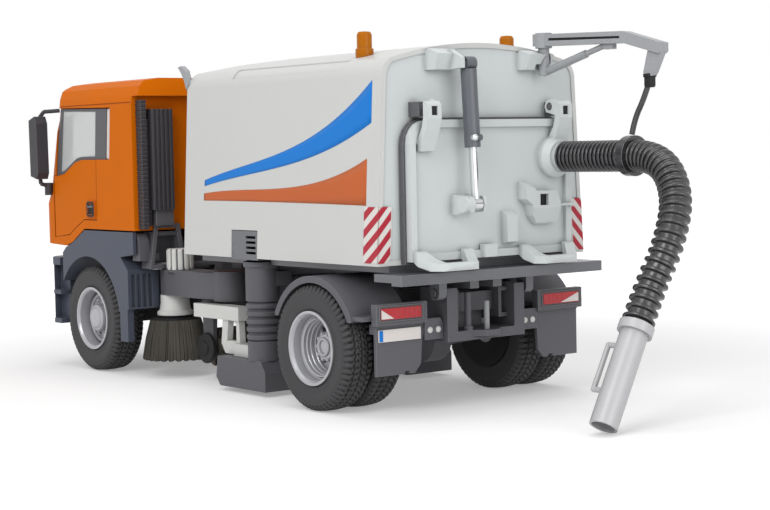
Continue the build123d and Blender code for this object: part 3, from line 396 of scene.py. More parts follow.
def moulded(name, colour, roughness=0.42, grain=5000.0, bump=0.06, cloud=0.05, edge=0.12, metallic=0.0,
            depth=0.4, gloss=0.3):
    """Moulded plastic: cloudy tone, painted seam shade, a painted edge highlight, fine grain and rounded
    edges.
    """
    material = bpy.data.materials.new(name)
    material.use_nodes = True
    tree = material.node_tree
    shader = tree.nodes["Principled BSDF"]
    spot = tree.nodes.new("ShaderNodeTexCoord")
    texture = tree.nodes.new("ShaderNodeGroup")
    texture.node_tree = GRAIN
    texture.inputs["Grain Scale"].default_value = grain
    tree.links.new(spot.outputs["Object"], texture.inputs["Vector"])
    soft = tree.nodes.new("ShaderNodeGroup")
    soft.node_tree = EDGE
    toned = mixed(tree, texture.outputs["Cloud"], shaded(-cloud, colour), shaded(cloud, colour))
    # painted shade: the occlusion mask darkens the colour in seams and corners, by the share depth
    seam_shade = tree.nodes.new("ShaderNodeGroup")
    seam_shade.node_tree = SEAM_SHADE_GROUP
    closed = math_node(tree, "SUBTRACT", 1.0, seam_shade.outputs["Open"])
    seam_shaded = mixed(tree, math_node(tree, "MULTIPLY", closed, depth), toned, shaded(SEAM_SHADE_SHIFT, colour))
    # painted highlight: edges turn paler towards a light grey, by the share edge
    edge_highlight = math_node(tree, "MULTIPLY", soft.outputs["Edge"], edge)
    tree.links.new(mixed(tree, edge_highlight, seam_shaded, EDGE_HIGHLIGHT_GREY), shader.inputs["Base Color"])
    smoothest, roughest = roughness - ROUGHNESS_SPREAD, roughness + ROUGHNESS_SPREAD
    tree.links.new(ranged(tree, texture.outputs["Cloud"], smoothest, roughest), shader.inputs["Roughness"])
    relief = tree.nodes.new("ShaderNodeBump")
    relief.inputs["Strength"].default_value = bump
    relief.inputs["Distance"].default_value = RELIEF
    tree.links.new(texture.outputs["Grain"], relief.inputs["Height"])
    tree.links.new(soft.outputs["Normal"], relief.inputs["Normal"])
    tree.links.new(relief.outputs["Normal"], shader.inputs["Normal"])
    shader.inputs["Metallic"].default_value = metallic
    shader.inputs["Specular IOR Level"].default_value = gloss
    return material


# In each finish, edge sets the share of painted highlight on edges and depth the share of painted shade in
# seams.
ORANGE = moulded("orange plastic", ink(222, 112, 0), roughness=0.42, edge=0.05, gloss=0.06)
SLATE = moulded("slate plastic", ink(78, 83, 97), roughness=0.45, edge=0.2)
DARK = moulded("charcoal plastic", ink(98, 98, 102), roughness=0.5, edge=0.3, depth=0.6)
DECK = moulded("deck plastic", ink(104, 105, 110), roughness=0.24, edge=0.3, depth=0.5, gloss=0.6)
# A darker copy of the charcoal plastic for the intake, its cover and the mirrors: partly the intake's own
# black, partly painted shade for parts that stand in shadow.
INTAKE_BLACK_AND_SHADE = moulded("intake black", ink(62, 60, 65), roughness=0.5, edge=0.2, depth=0.5)
CHASSIS = moulded("chassis plastic", ink(98, 98, 103), roughness=0.5, edge=0.3, depth=0.6)
WHITE = moulded("hopper white", ink(214, 215, 213), roughness=0.38, cloud=0.015)
TAIL = moulded("tail grey", ink(214, 219, 219), roughness=0.36, cloud=0.03, edge=0.6, depth=0.55)
LIGHT = moulded("light plastic", ink(222, 222, 219), roughness=0.4, cloud=0.02, depth=0.55)
BOOM = moulded("boom grey", ink(166, 168, 171), roughness=0.36, edge=0.4, depth=0.5)
PIPE = moulded("pipe grey", ink(192, 192, 194), roughness=0.34, metallic=0.1, edge=0.3, depth=0.5)
RIM = moulded("rim silver", ink(186, 186, 190), roughness=0.3, metallic=0.35, edge=0.35, depth=0.6)
BARREL = moulded("ram barrel", ink(96, 99, 105), roughness=0.32, gloss=0.5)
CHROME = moulded("bright rod", ink(218, 220, 222), roughness=0.2, metallic=0.85, bump=0.01)
RUBBER = moulded("tyre", ink(68, 67, 69), roughness=0.6, grain=3500.0, bump=0.12, edge=0.12, depth=0.5)
HOSE = moulded("hose", ink(44, 43, 46), roughness=0.22, bump=0.03, edge=0.35, depth=0.7, gloss=0.85)
BRISTLE = moulded("bristle", ink(102, 98, 90), roughness=0.6, cloud=0.3, edge=0.0, depth=0.5)
AMBER = moulded("beacon amber", ink(184, 106, 2), roughness=0.25, gloss=0.15)
RED = moulded("lens red", ink(190, 34, 44), roughness=0.25, gloss=0.5)
BLACK = moulded("socket black", ink(34, 34, 36), roughness=0.6, edge=0.0)
print("moulded", len(bpy.data.materials), "finishes")

# %% The clear glazing
GLASS_SHARE = 0.5
GLAZING = bpy.data.materials.new("clear glazing")
GLAZING.use_nodes = True
pane = GLAZING.node_tree.nodes["Principled BSDF"]
# The pale base colour of the half that isn't let through is painted reflection: it stands in for the white
# surroundings that a clear pane mirrors.
pane.inputs["Base Color"].default_value = (0.96, 0.98, 0.98, 1.0)
pane.inputs["Roughness"].default_value = 0.08
pane.inputs["IOR"].default_value = 1.45
pane.inputs["Transmission Weight"].default_value = GLASS_SHARE
print("the panes let through", GLASS_SHARE, "of the light and keep a pale tone of their own")

# %% Each solid of the frame takes its finish from its slot
FINISHES = {
    "cab_orange": ORANGE, "slate_plastic": SLATE, "dark_plastic": DARK, "hopper_white": WHITE,
    "tail_grey": TAIL, "light_plastic": LIGHT, "chassis_grey": CHASSIS, "boom_grey": BOOM, "pipe_grey": PIPE,
    "rim_silver": RIM, "ram_dark": BARREL, "ram_bright": CHROME, "tyre_rubber": RUBBER,
    "bristle_dark": BRISTLE, "hose_black": HOSE, "clear_glazing": GLAZING, "beacon_amber": AMBER,
    "lens_red": RED,
}
for subpart in frame["record"]["subparts"]:
    solid = nodes[subpart["node"]]
    solid.data.materials.clear()
    solid.data.materials.append(FINISHES[subpart["material_slot"]])
OWN_FINISHES = {"air_intake": INTAKE_BLACK_AND_SHADE, "mirror_left": INTAKE_BLACK_AND_SHADE, "mirror_right": INTAKE_BLACK_AND_SHADE, "coupling_pin": BOOM,
                "hopper_base": DECK}
for name, finish in OWN_FINISHES.items():
    nodes[name].data.materials[0] = finish

# %% [markdown]
# ## Floor and light
# The photograph is a product shot: a white sweep, broad soft light from above and from the camera's side,
# and a soft shadow under the truck. The floor adds a little white for camera, mirror and glass rays only,
# more of it far from the truck, so that it reaches paper white and still keeps the shadow.

# %% Floor, world and lamps
FLOOR_HALF = 4.0
FLOOR_LIFT_NEAR = 0.28
FLOOR_LIFT_FAR = 0.7
FLOOR_LIFT_REACH = (0.22, 0.75)
FLOOR_WHITE = (0.82, 0.82, 0.82, 1.0)
FLOOR_ROUGHNESS = 0.9
WORLD_LIGHT = 0.46
PAPER_WHITE = (1.0, 1.0, 1.0, 1.0)


def seen_rays(tree):
    """1 for rays from the camera, off a mirror or through glass, else 0."""
    path = tree.nodes.new("ShaderNodeLightPath")
    straight = math_node(tree, "MAXIMUM", path.outputs["Is Camera Ray"], path.outputs["Is Glossy Ray"])
    return math_node(tree, "MAXIMUM", straight, path.outputs["Is Transmission Ray"])


def floor_material():
    """Diffuse white that catches the shadow, plus light of its own that only direct looks see."""
    material = bpy.data.materials.new("white sweep")
    material.use_nodes = True
    tree = material.node_tree
    shader = tree.nodes["Principled BSDF"]
    shader.inputs["Base Color"].default_value = FLOOR_WHITE
    shader.inputs["Roughness"].default_value = FLOOR_ROUGHNESS
    shader.inputs["Specular IOR Level"].default_value = 0.0
    shader.inputs["Emission Color"].default_value = PAPER_WHITE
    spot = tree.nodes.new("ShaderNodeTexCoord")
    length = tree.nodes.new("ShaderNodeVectorMath")
    length.operation = "LENGTH"
    tree.links.new(spot.outputs["Object"], length.inputs[0])
    spread = tree.nodes.new("ShaderNodeMapRange")
    spread.interpolation_type = "SMOOTHSTEP"
    limits = (*FLOOR_LIFT_REACH, FLOOR_LIFT_NEAR, FLOOR_LIFT_FAR)
    for label, value in zip(("From Min", "From Max", "To Min", "To Max"), limits):
        spread.inputs[label].default_value = value
    tree.links.new(length.outputs["Value"], spread.inputs["Value"])
    lift = math_node(tree, "MULTIPLY", seen_rays(tree), spread.outputs["Result"])
    tree.links.new(lift, shader.inputs["Emission Strength"])
    return material


def soft_lamp(name, spot, target, size, power):
    """A square area lamp at a spot, facing a target, both in millimetres from the rear axle."""
    lamp = bpy.data.objects.new(name, bpy.data.lights.new(name, "AREA"))
    lamp.data.size = size
    lamp.data.energy = power
    spot, target = Vector(place(spot)), Vector(place(target))
    turn = (spot - target).to_track_quat("Z", "Y").to_matrix().to_4x4()
    lamp.matrix_world = Matrix.Translation(spot) @ turn
    bpy.context.scene.collection.objects.link(lamp)


floor_corners = [[-FLOOR_HALF, -FLOOR_HALF, 0], [FLOOR_HALF, -FLOOR_HALF, 0],
                 [FLOOR_HALF, FLOOR_HALF, 0], [-FLOOR_HALF, FLOOR_HALF, 0]]
floor = made("floor", floor_corners, [[0, 1, 2, 3]], floor_material(), None, "none")

world = bpy.data.worlds.new("studio")
world.use_nodes = True
sky = world.node_tree.nodes["Background"]
sky.inputs["Color"].default_value = PAPER_WHITE
strength = ranged(world.node_tree, seen_rays(world.node_tree), WORLD_LIGHT, 1.0)
world.node_tree.links.new(strength, sky.inputs["Strength"])
bpy.context.scene.world = world

MIDDLE = (80.0, 0.0, 90.0)
soft_lamp("key", (-420.0, 1100.0, 900.0), MIDDLE, 0.7, 7.2)
soft_lamp("top", (60.0, 0.0, 1300.0), MIDDLE, 0.8, 3.8)
soft_lamp("rear fill", (-1200.0, 60.0, 260.0), MIDDLE, 0.8, 4.4)
print("lit by", len(bpy.data.lights), "soft lamps and a world at", WORLD_LIGHT)

# %% [markdown]
# ## Hose and strap
# The suction hose hangs from the gate's port through a ring on the boom's strap. A bevelled curve would be
# the short way to a hose, but its wall would be smooth. So the route is a NURBS spline through the places
# that the solids follow, read back as points, and the wall is worked out round it. The corrugated wall is
# a radius that rises and falls along the curve: the ribs sit close together where the hose is pushed into
# its port, and stretch apart where its own weight pulls it down. The strap is a plain limp cord that hangs
# from the boom's clip and ends on the ring round the hose.

# %% Routes
HOSE_PORT = (-66.0, -44.0, 131.0)
RING_FRONT = (-112.0, -44.0, 131.0)
HOSE_ROUTE = [
    (-116.0, -44.0, 131.0),
    (-134.0, -44.0, 131.0),
    (-151.0, -39.0, 112.0),
    (-156.5, -26.0, 88.0),
    (-154.1, -14.2, 66.9),
    (-155.8, -3.6, 50.0),
]
STRAP_ROUTE = [(-129.0, -43.2, 170.3), (-124.5, -43.6, 160.5), (-117.0, -44.0, 149.8), (-115.0, -44.0, 142.0)]
HOSE_DIAMETER = 16.5
STRAP_DIAMETER = 3.0


def spline_points(name, route, steps):
    """Points read from a NURBS curve through a route: the curve is made, turned into edges and read back."""
    curve = bpy.data.curves.new(name, "CURVE")
    curve.dimensions = "3D"
    curve.resolution_u = steps
    spline = curve.splines.new("NURBS")
    spline.points.add(len(route) - 1)
    for point, spot in zip(spline.points, place(route)):
        point.co = (*spot, 1.0)
    spline.order_u = 3
    spline.use_endpoint_u = True
    holder = bpy.data.objects.new(name, curve)
    line = bpy.data.meshes.new_from_object(holder)
    points = np.zeros(len(line.vertices) * 3)
    line.vertices.foreach_get("co", points)
    bpy.data.objects.remove(holder)
    return points.reshape(-1, 3)


print("the hose hangs from z", HOSE_ROUTE[0][2], "to", HOSE_ROUTE[-1][2], "mm")

# %% Lengths, even steps and tubes


def length_along(line):
    """The distance along a line of points, from 0 at the first point."""
    return np.concatenate([[0.0], np.cumsum(np.linalg.norm(np.diff(line, axis=0), axis=1))])


def resampled(line, count):
    """The same line as evenly spaced points."""
    far = length_along(line)
    even = np.linspace(0, far[-1], count)
    return np.stack([np.interp(even, far, line[:, k]) for k in range(3)], axis=-1), even


def swept(line, radius, segments, side=(0.0, 1.0, 0.0)):
    """A tube of changing radius: circles square to the line, laid out from a side direction kept in view."""
    way = np.gradient(line, axis=0)
    way /= np.linalg.norm(way, axis=1, keepdims=True)
    first = np.cross(way, side)
    first /= np.linalg.norm(first, axis=1, keepdims=True)
    second = np.cross(way, first)
    angle = np.linspace(0, 2 * np.pi, segments, endpoint=False)
    cosine, sine = np.cos(angle)[None, :, None], np.sin(angle)[None, :, None]
    ring = cosine * first[:, None, :] + sine * second[:, None, :]
    return line[:, None, :] + np.asarray(radius)[:, None, None] * ring


def closed_tube(rings):
    """Points and faces of a tube with a centre point closing each end."""
    rows, cols = rings.shape[:2]
    points = np.concatenate([rings.reshape(-1, 3), rings[0].mean(0)[None], rings[-1].mean(0)[None]])
    j = np.arange(cols)
    start = np.stack([j, (j + 1) % cols, np.full(cols, rows * cols)], axis=-1)
    last = (rows - 1) * cols
    end = np.stack([last + (j + 1) % cols, last + j, np.full(cols, rows * cols + 1)], axis=-1)
    return points, [*grid_faces(rows, cols, round_cols=True), *start, *end]


# %% The corrugated hose


def smooth_step(value, low, high):
    """0 below low, 1 above high, with an eased rise between them."""
    t = np.clip((value - low) / (high - low), 0, 1)
    return t * t * (3 - 2 * t)


RIB_DEPTH = 1.9
RIB_THICKNESS = 1.7
RIB_FLANK = (0.3 * RIB_THICKNESS, 0.75 * RIB_THICKNESS)
RIB_TIGHT = 2.9
RIB_LOOSE = 5.1
STRETCH_SHARE = 0.55
HOSE_STEPS_PER_RIB = 12
HOSE_SEGMENTS = 40


def corrugated(name, line, pitch_start, pitch_end, phase):
    """A hose wall: the radius is the outer radius on each rib and falls by the rib depth between ribs.

    The rib phase is the integral of one over the pitch, which grows smoothly along the line. A point's
    distance from the nearest rib is its phase from a whole number times the pitch.
    """
    far = length_along(line)[-1] / MM
    ribs = 2.0 * far / (pitch_start + pitch_end)
    even_line, even = resampled(line, int(ribs * HOSE_STEPS_PER_RIB))
    along = even / MM
    pitch = pitch_start + (pitch_end - pitch_start) * smooth_step(along, 0.0, STRETCH_SHARE * far)
    turns = phase + np.concatenate([[0.0], np.cumsum(np.diff(along) / pitch[:-1])])
    from_rib = np.abs((turns + 0.5) % 1.0 - 0.5) * pitch
    fall = smooth_step(from_rib, *RIB_FLANK)
    radius = HOSE_DIAMETER / 2 - RIB_DEPTH * fall
    points, faces = closed_tube(swept(even_line, radius * MM, HOSE_SEGMENTS))
    return made(name, points, faces, HOSE, None, "hose_black"), even_line, turns[-1]


upper_line = np.linspace(place(HOSE_PORT), place(HOSE_ROUTE[0]), 60)
hose_top, _, phase_at_ring = corrugated("hose_to_ring", upper_line, RIB_TIGHT, RIB_TIGHT, 0.0)
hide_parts("hose_upper")
tuple(place(HOSE_PORT))
tuple(place(RING_FRONT))
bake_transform(hose_top)

hose_line = spline_points("hose_route", HOSE_ROUTE, 24)
hose_down, hose_path, _ = corrugated("hose_down", hose_line, RIB_TIGHT, RIB_LOOSE, phase_at_ring)
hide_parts("hose_lower")
tuple(place(HOSE_ROUTE[0]))
tuple(place(HOSE_ROUTE[-1]))
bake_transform(hose_down)
hose_length = length_along(hose_path)[-1]
print("hose below its ring", round(hose_length, 4), "m")

# %% The strap from the boom to the ring
STRAP_STEPS = 60
strap_line, _ = resampled(spline_points("strap_route", STRAP_ROUTE, 16), STRAP_STEPS)
strap_radius = np.full(STRAP_STEPS, STRAP_DIAMETER / 2 * MM)
strap_points, strap_faces = closed_tube(swept(strap_line, strap_radius, 20))
strap = made("hose_strap_cord", strap_points, strap_faces, HOSE, None, "hose_black")
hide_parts("hose_strap")
tuple(place(STRAP_ROUTE[0]))
tuple(place(STRAP_ROUTE[-1]))
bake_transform(strap)
strap_length = length_along(strap_line)[-1]
print("strap", round(strap_length, 4), "m")
tuple(place(STRAP_ROUTE[0]))
tuple(place(HOSE_ROUTE[0]))
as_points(hose_path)

# %% [markdown]
# ## Tyres
# The toy's tyres are soft plastic with a block tread. Cutting blocks with booleans is slow and often leaves
# torn faces, so the tyre is one closed section turned round the axle, and the tread is cut in the same
# step: the radius drops wherever the angle and the place across the tread fall in a groove. Zigzag grooves
# run round the tyre and slots cut the outer ribs into blocks, which also notch the sidewall's edge.

# %% The tyre's section and tread
TYRE_RADIUS = 33.5
RIM_RADIUS = 19.75
TREAD_DEPTH = 1.5
TREAD_PITCHES = 60
STEPS_PER_PITCH = 6
ZIGZAG = 0.045
GROOVES_ACROSS = (-0.46, 0.0, 0.46)
GROOVE_FLANK = (0.03, 0.075)
OUTER_SLOT_LEAN, OUTER_SLOT_FLANK, OUTER_RIB = 0.6, (0.08, 0.22), (0.5, 0.56)
MIDDLE_SLOT_LEAN, MIDDLE_SLOT_FLANK, MIDDLE_SLOT_SHARE = -0.8, (0.06, 0.2), 0.8
MIDDLE_RIB = ((0.1, 0.14), (0.3, 0.36))
TREAD_FROM = (29.8, 31.0)
CROWN_DROP = 0.5
SHOULDER = 2.2
WALL_RADII = (RIM_RADIUS, RIM_RADIUS + 0.6, 22.0, 23.0, 25.5, 28.0, 29.4, 29.8, 30.6, 31.6, 32.4)
WALL_INSETS = (1.6, 0.9, 0.5, 0.75, 0.2, 0.05, 0.35, 0.05, 0.35, 0.9, 1.6)


def tyre_rings(width):
    """Radius and offset of a tyre: bead, bulging wall, shoulder, tread and back, with the tread cut in.

    A zigzag groove is where the place across is close to a triangle wave of the angle. A slot is where the
    angle, in pitches and leaning with the place across, is close to a half, and only on its own rib.
    """
    tread = np.linspace(-1, 1, 41)
    half = width / 2
    edge = half - SHOULDER
    wall_r = np.array(WALL_RADII)
    wall_y = half - np.array(WALL_INSETS)
    crown = TYRE_RADIUS - CROWN_DROP * tread ** 2
    radius = np.concatenate([wall_r, crown, wall_r[::-1]])
    offset = np.concatenate([wall_y, -tread * edge, -wall_y[::-1]])
    angle = np.linspace(0, 2 * np.pi, TREAD_PITCHES * STEPS_PER_PITCH, endpoint=False)[:, None]
    turn = angle * TREAD_PITCHES / (2 * np.pi)
    across = offset / half
    zigzag = ZIGZAG * (2 * np.abs((turn % 1.0) * 2 - 1) - 1)
    cut = np.zeros((len(angle), len(radius)))
    for groove in GROOVES_ACROSS:
        gap = np.abs(across - groove - zigzag)
        cut = np.maximum(cut, 1 - smooth_step(gap, *GROOVE_FLANK))
    place_out = np.abs(across)
    slot = np.abs((turn + 0.5 + OUTER_SLOT_LEAN * across) % 1.0 - 0.5)
    on_outer = smooth_step(place_out, *OUTER_RIB)
    cut = np.maximum(cut, (1 - smooth_step(slot, *OUTER_SLOT_FLANK)) * on_outer)
    middle_slot = np.abs((turn + MIDDLE_SLOT_LEAN * across) % 1.0 - 0.5)
    on_middle = smooth_step(place_out, *MIDDLE_RIB[0]) * (1 - smooth_step(place_out, *MIDDLE_RIB[1]))
    shallow = MIDDLE_SLOT_SHARE * (1 - smooth_step(middle_slot, *MIDDLE_SLOT_FLANK))
    cut = np.maximum(cut, shallow * on_middle)
    tread_only = smooth_step(radius, *TREAD_FROM)
    return angle, radius - TREAD_DEPTH * cut * tread_only, np.broadcast_to(offset, cut.shape)


def tyre(name, x, y0, y1, body, cad=None):
    """One tyre between two places across the truck, as one closed skin of revolution."""
    angle, radius, offset = tyre_rings(y1 - y0)
    xs, zs = x + radius * np.sin(angle), TYRE_RADIUS + radius * np.cos(angle)
    points = np.stack([xs, (y0 + y1) / 2 + offset, zs], axis=-1)
    faces = grid_faces(*radius.shape, round_rows=True, round_cols=True)
    piece = made(name, place(points), faces, RUBBER, body, "tyre_rubber")
    if cad:
        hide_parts(cad)
    return crease(piece, 40)


WHEELBASE = 244.0
FRONT_TYRE = (55.0, 75.0)
REAR_TYRES = ((41.3, 59.3), (61.5, 79.5))
for side, sign in SIDES:
    near, far = sorted(sign * y for y in FRONT_TYRE)
    front = tyre(f"front_tread_{side}", WHEELBASE, near, far, f"front_wheel_{side}", f"front_tyre_{side}")
    for label, span in zip(("inner", "outer"), REAR_TYRES):
        near, far = sorted(sign * y for y in span)
        stands_for = f"rear_tyres_{side}" if label == "outer" else None
        tyre(f"rear_tread_{label}_{side}", 0.0, near, far, f"rear_wheel_{side}", stands_for)
print("a front tyre has", len(front.data.polygons), "faces")

# %% [markdown]
# ## Rims
# The solids hold the rims' main steps. A real toy rim has more: a ring of wheel nuts on each hub, fine
# steps down into the rear dish, and a small ring round the hub. From inside, each wheel is closed by
# a black disc. They could be modelled once and instanced, but an instance's place would be in its object,
# so all are turned profiles or one nut copied round a circle, with their places in the mesh.

# %% Nuts, steps and the black discs behind the wheels
NUTS_PER_WHEEL = 10
NUT = [(0, 1.3), (0.75, 1.3), (1.05, 0.9), (1.15, -0.4), (0, -0.4)]
FRONT_NUT_RING = (11.2, 67.3)
REAR_NUT_RING = (6.9, 69.2)
FRONT_STEP = [(13.4, 66.5), (14.0, 67.6), (15.4, 67.8), (16.2, 67.2), (16.3, 65.9), (13.4, 65.9)]
FRONT_HUB = [(6.6, 72.0), (7.3, 72.3), (8.3, 71.6), (8.7, 70.0), (7.0, 70.0)]
REAR_STEPS = [(15.6, 73.6), (14.9, 73.2), (14.8, 71.4), (14.3, 71.0), (14.2, 69.2), (13.8, 68.8),
              (13.7, 66.6), (13.3, 66.2), (13.3, 64.2), (15.0, 64.2), (15.9, 72.8)]
REAR_CAP = [(3.4, 70.7), (3.9, 71.5), (4.7, 71.5), (5.2, 70.7), (4.3, 70.3)]
WHEEL_BACK = [(3.7, 1.2), (8.6, 0.9), (15.5, 0.5), (19.0, -0.35), (20.6, -0.35), (20.6, 0.5), (16.0, 1.6),
              (3.7, 2.2)]


def ring_spots(count, radius, x, y):
    """Spots evenly round a circle that faces sideways."""
    angle = 2 * np.pi * np.arange(count) / count
    xs, zs = x + radius * np.cos(angle), TYRE_RADIUS + radius * np.sin(angle)
    return np.stack([xs, np.full(count, y), zs], axis=-1)


def mirrored(profile, sign):
    """A profile whose heights point to the truck's other side where the sign is -1."""
    return [(r, sign * h) for r, h in profile]


def wheel_ring(name, profile, x, sign, body, segments=64, material=RIM, slot="rim_silver"):
    """A closed ring of a wheel turned about the axle at X, on the side that the sign says."""
    axle = (x, 0.0, TYRE_RADIUS)
    lathe(name, mirrored(profile, sign), axle, "Y", segments, material, body, slot, closed=True)


def wheel_nuts(name, ring, x, sign, body):
    """The wheel's nuts round the axle at X, on a ring of (radius, place across)."""
    spots = ring_spots(NUTS_PER_WHEEL, ring[0], x, sign * ring[1])
    studs(name, spots, "Y", mirrored(NUT, sign), 6, RIM, body, "rim_silver")


def wheel_back(name, tyre_inside, x, sign, body):
    """The black disc that closes a wheel near the inner side of its tyre."""
    profile = [(r, tyre_inside + h) for r, h in WHEEL_BACK]
    wheel_ring(name, profile, x, sign, body, material=BLACK, slot="tyre_rubber")


for side, sign in SIDES:
    body = f"front_wheel_{side}"
    wheel_nuts(f"front_nuts_{side}", FRONT_NUT_RING, WHEELBASE, sign, body)
    wheel_ring(f"front_step_{side}", FRONT_STEP, WHEELBASE, sign, body)
    wheel_ring(f"front_hub_{side}", FRONT_HUB, WHEELBASE, sign, body, segments=48)
    wheel_back(f"front_back_{side}", FRONT_TYRE[0], WHEELBASE, sign, body)
    body = f"rear_wheel_{side}"
    wheel_ring(f"rear_steps_{side}", REAR_STEPS, 0.0, sign, body)
    wheel_nuts(f"rear_nuts_{side}", REAR_NUT_RING, 0.0, sign, body)
    wheel_ring(f"rear_cap_{side}", REAR_CAP, 0.0, sign, body, segments=40)
    wheel_back(f"rear_back_{side}", REAR_TYRES[0][0], 0.0, sign, body)
print("dressed 4 wheels with", 4 * NUTS_PER_WHEEL, "nuts")

# %% [markdown]
# ## Round brooms
# Each broom is a ring of bundles of stiff bristles that flare outwards and end in a slightly scalloped
# edge. Hair particles could grow them, but they aren't a mesh until they are converted and each run has to
# give the same result. So thousands of thin tapering strands are worked out together: each has a root on
# the plate, a tip on the floor side, and a slight bow between them. A dark cone behind them stops the eye
# seeing through.

# %% Strands, plates and cores
BROOM_AXIS = (184.0, 49.5)
BUNDLES = 26
STRANDS_PER_BUNDLE = 130
SKIRT_DEPTH = 3.4
ROOT_RADIUS, ROOT_Z = 15.4, 35.2
TIP_RADIUS, TIP_Z = 20.6, 10.6
SCALLOP = 5.0
RAGGED = 0.7
BOW = 0.6
STRAND_ROOT, STRAND_TIP = 0.45, 0.34
BROOM_SEEDS = {"left": 11, "right": 12}
STRAND_LEVELS = np.array([0.0, 0.5, 1.0])
BROOM_PLATE = [(0, 37.6), (8.6, 37.6), (9.4, 37.2), (12.2, 36.2), (14.6, 35.9), (15.2, 35.4), (14.8, 34.2),
               (0, 34.2)]
BROOM_CORE = [(0, 34.6), (14.2, 34.6), (19.4, 12.6), (17.8, 12.2), (9.0, 30.0), (0.0, 30.0)]


def strands(roots, tips, bow, root_radius, tip_radius):
    """Three-sided tapering strands: a bowed centre line and a small triangle round it at each level."""
    t = STRAND_LEVELS[None, :, None]
    centre = roots[:, None, :] * (1 - t) + tips[:, None, :] * t + bow[:, None, :] * (4 * t * (1 - t))
    corner = np.linspace(0, 2 * np.pi, 3, endpoint=False)
    ring = np.stack([np.cos(corner), np.sin(corner), np.zeros(3)], axis=-1)
    radius = (root_radius + (tip_radius - root_radius) * STRAND_LEVELS)[None, :, None, None]
    points = centre[:, :, None, :] + radius * ring[None, None]
    levels = len(STRAND_LEVELS)
    sides = grid_faces(levels, 3, round_cols=True)
    quads = (sides[None] + (levels * 3 * np.arange(len(roots)))[:, None, None]).reshape(-1, 4)
    ends = np.array([[2, 1, 0], [levels * 3 - 3, levels * 3 - 2, levels * 3 - 1]])
    caps = (ends[None] + (levels * 3 * np.arange(len(roots)))[:, None, None]).reshape(-1, 3)
    return points.reshape(-1, 3), [*quads, *caps]


def round_about(centre, radius, angle, height):
    """Places round an upright axis: the centre plus the radius times the angle's cosine and sine."""
    xs, ys = centre[0] + radius * np.cos(angle), centre[1] + radius * np.sin(angle)
    return np.stack([xs, ys, np.broadcast_to(height, xs.shape)], axis=-1)


def broom(side, sign):
    """A dense skirt of strands whose tips reach lowest in the middle of each bundle, and a dark core."""
    dice = np.random.default_rng(BROOM_SEEDS[side])
    bundle = np.repeat(np.arange(BUNDLES), STRANDS_PER_BUNDLE)
    spread = dice.uniform(-0.5, 0.5, len(bundle))
    angle = 2 * np.pi * (bundle + spread) / BUNDLES
    depth = SKIRT_DEPTH * dice.uniform(0, 1, len(bundle))
    tip_z = TIP_Z + SCALLOP * spread ** 2 + dice.uniform(0, RAGGED, len(bundle))
    centre = (BROOM_AXIS[0], sign * BROOM_AXIS[1])
    roots = round_about(centre, ROOT_RADIUS - depth, angle, ROOT_Z)
    tips = round_about(centre, TIP_RADIUS - depth, angle, tip_z)
    bow = round_about((0.0, 0.0), BOW, angle, 0.0)
    points, faces = strands(roots, tips, bow, STRAND_ROOT, STRAND_TIP)
    body = f"broom_{side}"
    brush = made(f"broom_bristles_{side}", place(points), faces, BRISTLE, body, "bristle_dark", smooth=False)
    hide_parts(f"broom_disc_{side}")
    lathe(f"broom_plate_{side}", BROOM_PLATE, (*centre, 0), "Z", 48, BLACK, body, "bristle_dark")
    lathe(f"broom_core_{side}", BROOM_CORE, (*centre, 0), "Z", 52, BRISTLE, body, "bristle_dark")
    return len(bundle)


print("strands in each broom:", [broom(side, sign) for side, sign in SIDES])

# %% [markdown]
# ## Light caps on the broom drives
# On the real toy the drive above each broom and the ribbed cap over it are snapped in from light plastic,
# while the arm's solid is dark. Painting part of a solid would need a mask, so they are skins a hair's
# breadth outside it: the motor is a bell, and the cap's radius dips in a narrow valley at each groove.

# %% Motor bell and ribbed cap
BROOM_CAP = (172.0, 52.5)
CAP_GROOVES = 12
STEPS_PER_GROOVE = 12
GROOVE_VALLEY = (0.08, 0.2)
CAP_GROOVE_DEPTH = 0.75
CAP_PROFILE = [(0, 66.4), (8.0, 66.4), (8.0, 77.8), (7.3, 78.9), (0, 79.0)]
CAP_GROOVED = np.array([0.0, 1.0, 1.0, 0.6, 0.0])
SKIN = 0.12
BELL = [(0, 38.0 - SKIN), (11.0 + SKIN, 38.0 - SKIN), (11.0 + SKIN, 39.7), (9.6, 41.1), (8.95, 45.0),
        (8.8, 50.3), (8.0, 50.3), (0, 50.3)]
FOOT_PLACE = (191.4, 53.0, 66.0)
FOOT = [(0, 0, 0), (4.6, 7.6, 0), (5.4, 8.6, 0.0), (5.4, 8.6, 3.2), (4.8, 8.0, 3.8), (0, 0, 3.8)]


def ribbed_cap(side, sign):
    """Radius of the cap: its outer radius less a groove depth wherever the angle is close to a groove."""
    angle = np.linspace(0, 2 * np.pi, CAP_GROOVES * STEPS_PER_GROOVE, endpoint=False)[:, None]
    turn = angle * CAP_GROOVES / (2 * np.pi)
    groove = 1 - smooth_step(np.abs(turn % 1.0 - 0.5), *GROOVE_VALLEY)
    radius, height = np.array(CAP_PROFILE).T
    r = np.where(radius > 0, radius + SKIN, 0.0) - CAP_GROOVE_DEPTH * groove * CAP_GROOVED
    points = round_about((BROOM_CAP[0], sign * BROOM_CAP[1]), r, angle, height + SKIN)
    faces = grid_faces(*r.shape, round_rows=True)
    piece = made(f"broom_cap_{side}", place(points), faces, LIGHT, f"broom_arm_{side}", "light_plastic")
    return crease(piece, 30)


